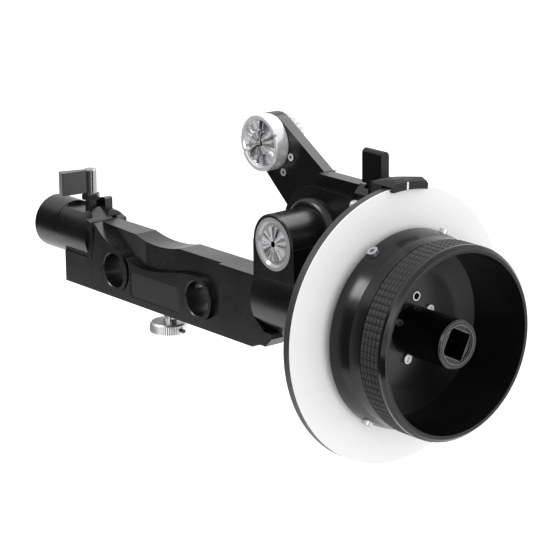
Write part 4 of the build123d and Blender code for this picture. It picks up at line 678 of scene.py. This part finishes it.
class FOLLOW_OT_wheel(bpy.types.Operator):
    """Finish the hand wheel and marking disk, and make the knurled grip band."""

    bl_idname = "follow.wheel"
    bl_label = "Hand wheel and disk"

    def execute(self, context):
        finish, grip, _ = settings()
        paint("wheel_cup", wheel_black())
        black = tuple(finish.wheel_black)
        # painted highlight: the rim's and the hub's edges take light lines through the edge mask,
        # with some wear
        paint("rim_ring", blasted("rim_black", black, grey(0.1), 0.17, 0.45, bump=0.02, wear_and_highlight=0.6,
                                  edge=0.3 * MM))
        paint("hub_tube", blasted("hub_black", black, grey(0.2), 0.17, 0.4, bump=0.02, wear_and_highlight=0.9,
                                  edge=0.8 * MM))
        paint("marking_disk", blasted("disk_white", tuple(finish.disk_white), grey(0.86), 0.5,
                                      0.4, grain=0.5 * MM, bump=0.04, wear_and_highlight=0.2))
        paint("disk_backing", blasted("disk_dark", (0.035, 0.035, 0.036), grey(0.1), 0.45, 0.4))
        paint("floor_screws radial_screws", turned_steel("wheel_screw_steel", WHEEL_AXIS, "X"))
        self.make_grip(grip, self.grip_material(tuple(finish.rubber)))
        return {"FINISHED"}

    def grip_material(self, rubber):
        """Rubber with painted shade down in the grooves, by its distance from the wheel's axis."""
        material, tree, shader = new_material("grip_rubber", Roughness=0.5,
                                              Specular_IOR_Level=0.25)
        place = tree.nodes.new("ShaderNodeTexCoord")
        across = tree.nodes.new("ShaderNodeVectorMath")
        across.operation = "MULTIPLY_ADD"
        across.inputs[1].default_value = (0, 1, 1)
        across.inputs[2].default_value = -WHEEL_AXIS
        link(tree, place.outputs["Object"], across.inputs[0])
        reach = tree.nodes.new("ShaderNodeVectorMath")
        reach.operation = "LENGTH"
        link(tree, across.outputs["Vector"], reach.inputs[0])
        high = value_range(tree, reach.outputs["Value"], 0, 1, *GROOVE_DEPTHS)
        # painted shade: darker rubber deep in the grooves
        link(tree, mixed(tree, "RGBA", high, shaded(rubber, GROOVE_SHADE), rubber),
             shader.inputs["Base Color"])
        grain = group_use(tree, group("blast_grain"), Grain_size=0.3 * MM, Strength=0.2)
        link(tree, grain.outputs["Normal"], shader.inputs["Normal"])
        return material

    def make_grip(self, grip, rubber):
        """Band of raised square cells: a ring of faces, each inset and pushed out."""
        low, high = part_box("grip_ring")
        outer = (high.z - low.z) / 2
        base = outer - grip.height
        shrink = GRIP_SEAT / base
        deselect()
        bpy.ops.mesh.primitive_circle_add(vertices=grip.around, radius=base,
                                          location=(low.x + GRIP_MARGIN, *WHEEL_AXIS.yz),
                                          rotation=(0, pi / 2, 0))
        band = named("grip_band")
        set_in_mesh(band)
        bpy.ops.object.mode_set(mode="EDIT")
        bpy.ops.mesh.select_all(action="SELECT")
        row = (high.x - low.x - 2 * GRIP_MARGIN) / grip.rows
        for _ in range(grip.rows):
            bpy.ops.mesh.extrude_region_move(TRANSFORM_OT_translate={"value": (row, 0, 0)})
        bpy.ops.mesh.select_all(action="SELECT")
        bpy.ops.mesh.normals_make_consistent(inside=False)
        bpy.ops.mesh.inset(thickness=grip.groove, depth=grip.height, use_individual=True)
        bpy.ops.object.mode_set(mode="OBJECT")
        # both ends fold in to the seat of the ring
        for side, start_x in ((-1, low.x + GRIP_MARGIN), (1, high.x - GRIP_MARGIN)):
            bpy.ops.object.mode_set(mode="EDIT")
            bpy.ops.mesh.select_mode(type="EDGE")
            bpy.ops.mesh.select_all(action="DESELECT")
            bpy.ops.object.mode_set(mode="OBJECT")
            for edge in band.data.edges:
                ends = [band.data.vertices[index].co for index in edge.vertices]
                edge.select = all(abs(end.x - start_x) < SAME_PLACE for end in ends)
            bpy.ops.object.mode_set(mode="EDIT")
            bpy.ops.mesh.extrude_edges_move(
                TRANSFORM_OT_translate={"value": (side * GRIP_MARGIN, 0, 0)})
            bpy.ops.mesh.extrude_edges_move()
            bpy.ops.transform.resize(value=(1, shrink, shrink),
                                     center_override=(start_x, *WHEEL_AXIS.yz))
            bpy.ops.object.mode_set(mode="OBJECT")
        apply_modifier(band, "BEVEL", width=GRIP_BEVEL, segments=1, limit_method="ANGLE",
                       angle_limit=radians(25))
        smooth(band, 40)
        finish_piece(band, "hand_wheel", rubber)
        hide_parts("grip_ring")


class FOLLOW_OT_index(bpy.types.Operator):
    """Finish the index ring, its block and its line."""

    bl_idname = "follow.index"
    bl_label = "Index"

    def execute(self, context):
        paint("index_ring", anodised())
        paint("index_block", blasted("index_grey", (0.009, 0.009, 0.0094), grey(0.05), 0.5, 0.3,
                                     grain=0.3 * MM))
        paint("index_line", blasted("line_white", grey(0.85), grey(0.9), 0.5, 0.4))
        return {"FINISHED"}


class FOLLOW_OT_stage(bpy.types.Operator):
    """Pale floor, soft studio light and the camera."""

    bl_idname = "follow.stage"
    bl_label = "Stage"

    def execute(self, context):
        stage = settings()[2]
        self.make_floor(stage)
        self.make_cards(stage)
        self.make_world(stage)
        powers = (stage.top_power, stage.side_power, stage.front_power)
        for (name, (place, target, size)), power in zip(LAMPS.items(), powers):
            self.make_light(name, place, target, size, power)
        self.make_camera(stage)
        context.scene.view_settings.view_transform = "Standard"
        return {"FINISHED"}

    def make_floor(self, stage):
        """White floor that keeps the object's shadow."""
        deselect()
        bpy.ops.mesh.primitive_plane_add(size=FLOOR_SIZE, location=(0, 0, stage.floor_drop))
        floor = named("studio_floor")
        material, tree, shader = new_material("studio_white", Roughness=0.9,
                                              Specular_IOR_Level=0.0)
        shader.inputs["Base Color"].default_value = (*grey(0.9), 1)
        shader.inputs["Emission Color"].default_value = (1, 1, 1, 1)
        link(tree, math_node(tree, "MULTIPLY", seen_rays(tree), FLOOR_GLOW),
             shader.inputs["Emission Strength"])
        floor.data.materials.append(material)
        set_in_mesh(floor)

    def make_cards(self, stage):
        """Dark card and dark cloth at the front left, out of view: black fronts show them."""
        material, _, shader = new_material("card_grey", Roughness=0.95, Specular_IOR_Level=0.0)
        shader.inputs["Base Color"].default_value = (*grey(stage.card_grey), 1)
        for name, ((x, y, z), size, turn) in CARDS.items():
            height = stage.floor_drop + CARD_LIFT if z is None else z
            deselect()
            bpy.ops.mesh.primitive_plane_add(size=1, location=(x, y, height), rotation=turn)
            card = named(name)
            card.dimensions = size
            card.data.materials.append(material)
            set_in_mesh(card)

    def make_world(self, stage):
        """Even white light from all round, seen as white."""
        world = bpy.data.worlds.new("studio_world")
        bpy.context.scene.world = world
        world.use_nodes = True
        tree = world.node_tree
        ground = tree.nodes["Background"]
        ground.inputs["Color"].default_value = (1, 1, 1, 1)
        link(tree, mixed(tree, "FLOAT", seen_rays(tree), stage.world_strength, 1.0),
             ground.inputs["Strength"])

    def make_light(self, name, place, target, size, power):
        """Round soft lamp that faces a point."""
        deselect()
        bpy.ops.object.light_add(type="AREA", location=place)
        lamp = bpy.context.object
        lamp.name = name
        lamp.data.shape = "DISK"
        lamp.data.size = size
        lamp.data.energy = power
        lamp.rotation_euler = (Vector(target) - Vector(place)).to_track_quat("-Z", "Y").to_euler()

    def make_camera(self, stage):
        """Camera at the photograph's angle."""
        level = cos(VIEW_ELEVATION)
        forward = Vector((-sin(VIEW_AZIMUTH) * level, cos(VIEW_AZIMUTH) * level,
                          -sin(VIEW_ELEVATION)))
        across = Vector((cos(VIEW_AZIMUTH), sin(VIEW_AZIMUTH), 0))
        upward = across.cross(forward)
        right = cos(VIEW_ROLL) * across + sin(VIEW_ROLL) * upward
        up = -sin(VIEW_ROLL) * across + cos(VIEW_ROLL) * upward
        place = VIEW_SHIFT[0] * right + VIEW_SHIFT[1] * up - VIEW_DISTANCE * forward
        deselect()
        bpy.ops.object.camera_add(location=place)
        camera = bpy.context.object
        turn = Matrix((right, up, -forward)).transposed()
        camera.rotation_euler = turn.to_euler()
        camera.data.lens = stage.lens
        camera.data.sensor_width = 36
        camera.data.sensor_fit = "HORIZONTAL"
        camera.data.clip_start = 0.01
        camera.data.clip_end = 50
        bpy.context.scene.camera = camera


class FOLLOW_PT_panel(bpy.types.Panel):
    """Buttons for each group of pieces."""

    bl_idname = "FOLLOW_PT_panel"
    bl_label = "Follow Focus"
    bl_space_type = "VIEW_3D"
    bl_region_type = "UI"
    bl_category = "Follow Focus"

    def draw(self, context):
        """One button for each operator, then the settings."""
        for operator in OPERATORS:
            self.layout.operator(operator.bl_idname)
        for holder in (context.scene.follow_finish, context.scene.follow_grip,
                       context.scene.follow_stage):
            column = self.layout.column()
            for key in holder.__annotations__:
                column.prop(holder, key)


OPERATORS = (FOLLOW_OT_stage, FOLLOW_OT_bridge, FOLLOW_OT_gears, FOLLOW_OT_arm,
             FOLLOW_OT_levers, FOLLOW_OT_wheel, FOLLOW_OT_index)
CLASSES = (FinishSettings, GripSettings, StageSettings, *OPERATORS, FOLLOW_PT_panel)


def register():
    """Register the classes and hang the settings on the scene."""
    for cls in CLASSES:
        bpy.utils.register_class(cls)
    bpy.types.Scene.follow_finish = bpy.props.PointerProperty(type=FinishSettings)
    bpy.types.Scene.follow_grip = bpy.props.PointerProperty(type=GripSettings)
    bpy.types.Scene.follow_stage = bpy.props.PointerProperty(type=StageSettings)


def unregister():
    """Undo register."""
    del bpy.types.Scene.follow_finish, bpy.types.Scene.follow_grip, bpy.types.Scene.follow_stage
    for cls in reversed(CLASSES):
        bpy.utils.unregister_class(cls)


def main():
    """Build and dress everything."""
    register()
    bpy.ops.follow.stage()
    bpy.ops.follow.bridge()
    bpy.ops.follow.gears()
    bpy.ops.follow.arm()
    bpy.ops.follow.levers()
    bpy.ops.follow.wheel()
    bpy.ops.follow.index()


if __name__ == "__main__":
    main()
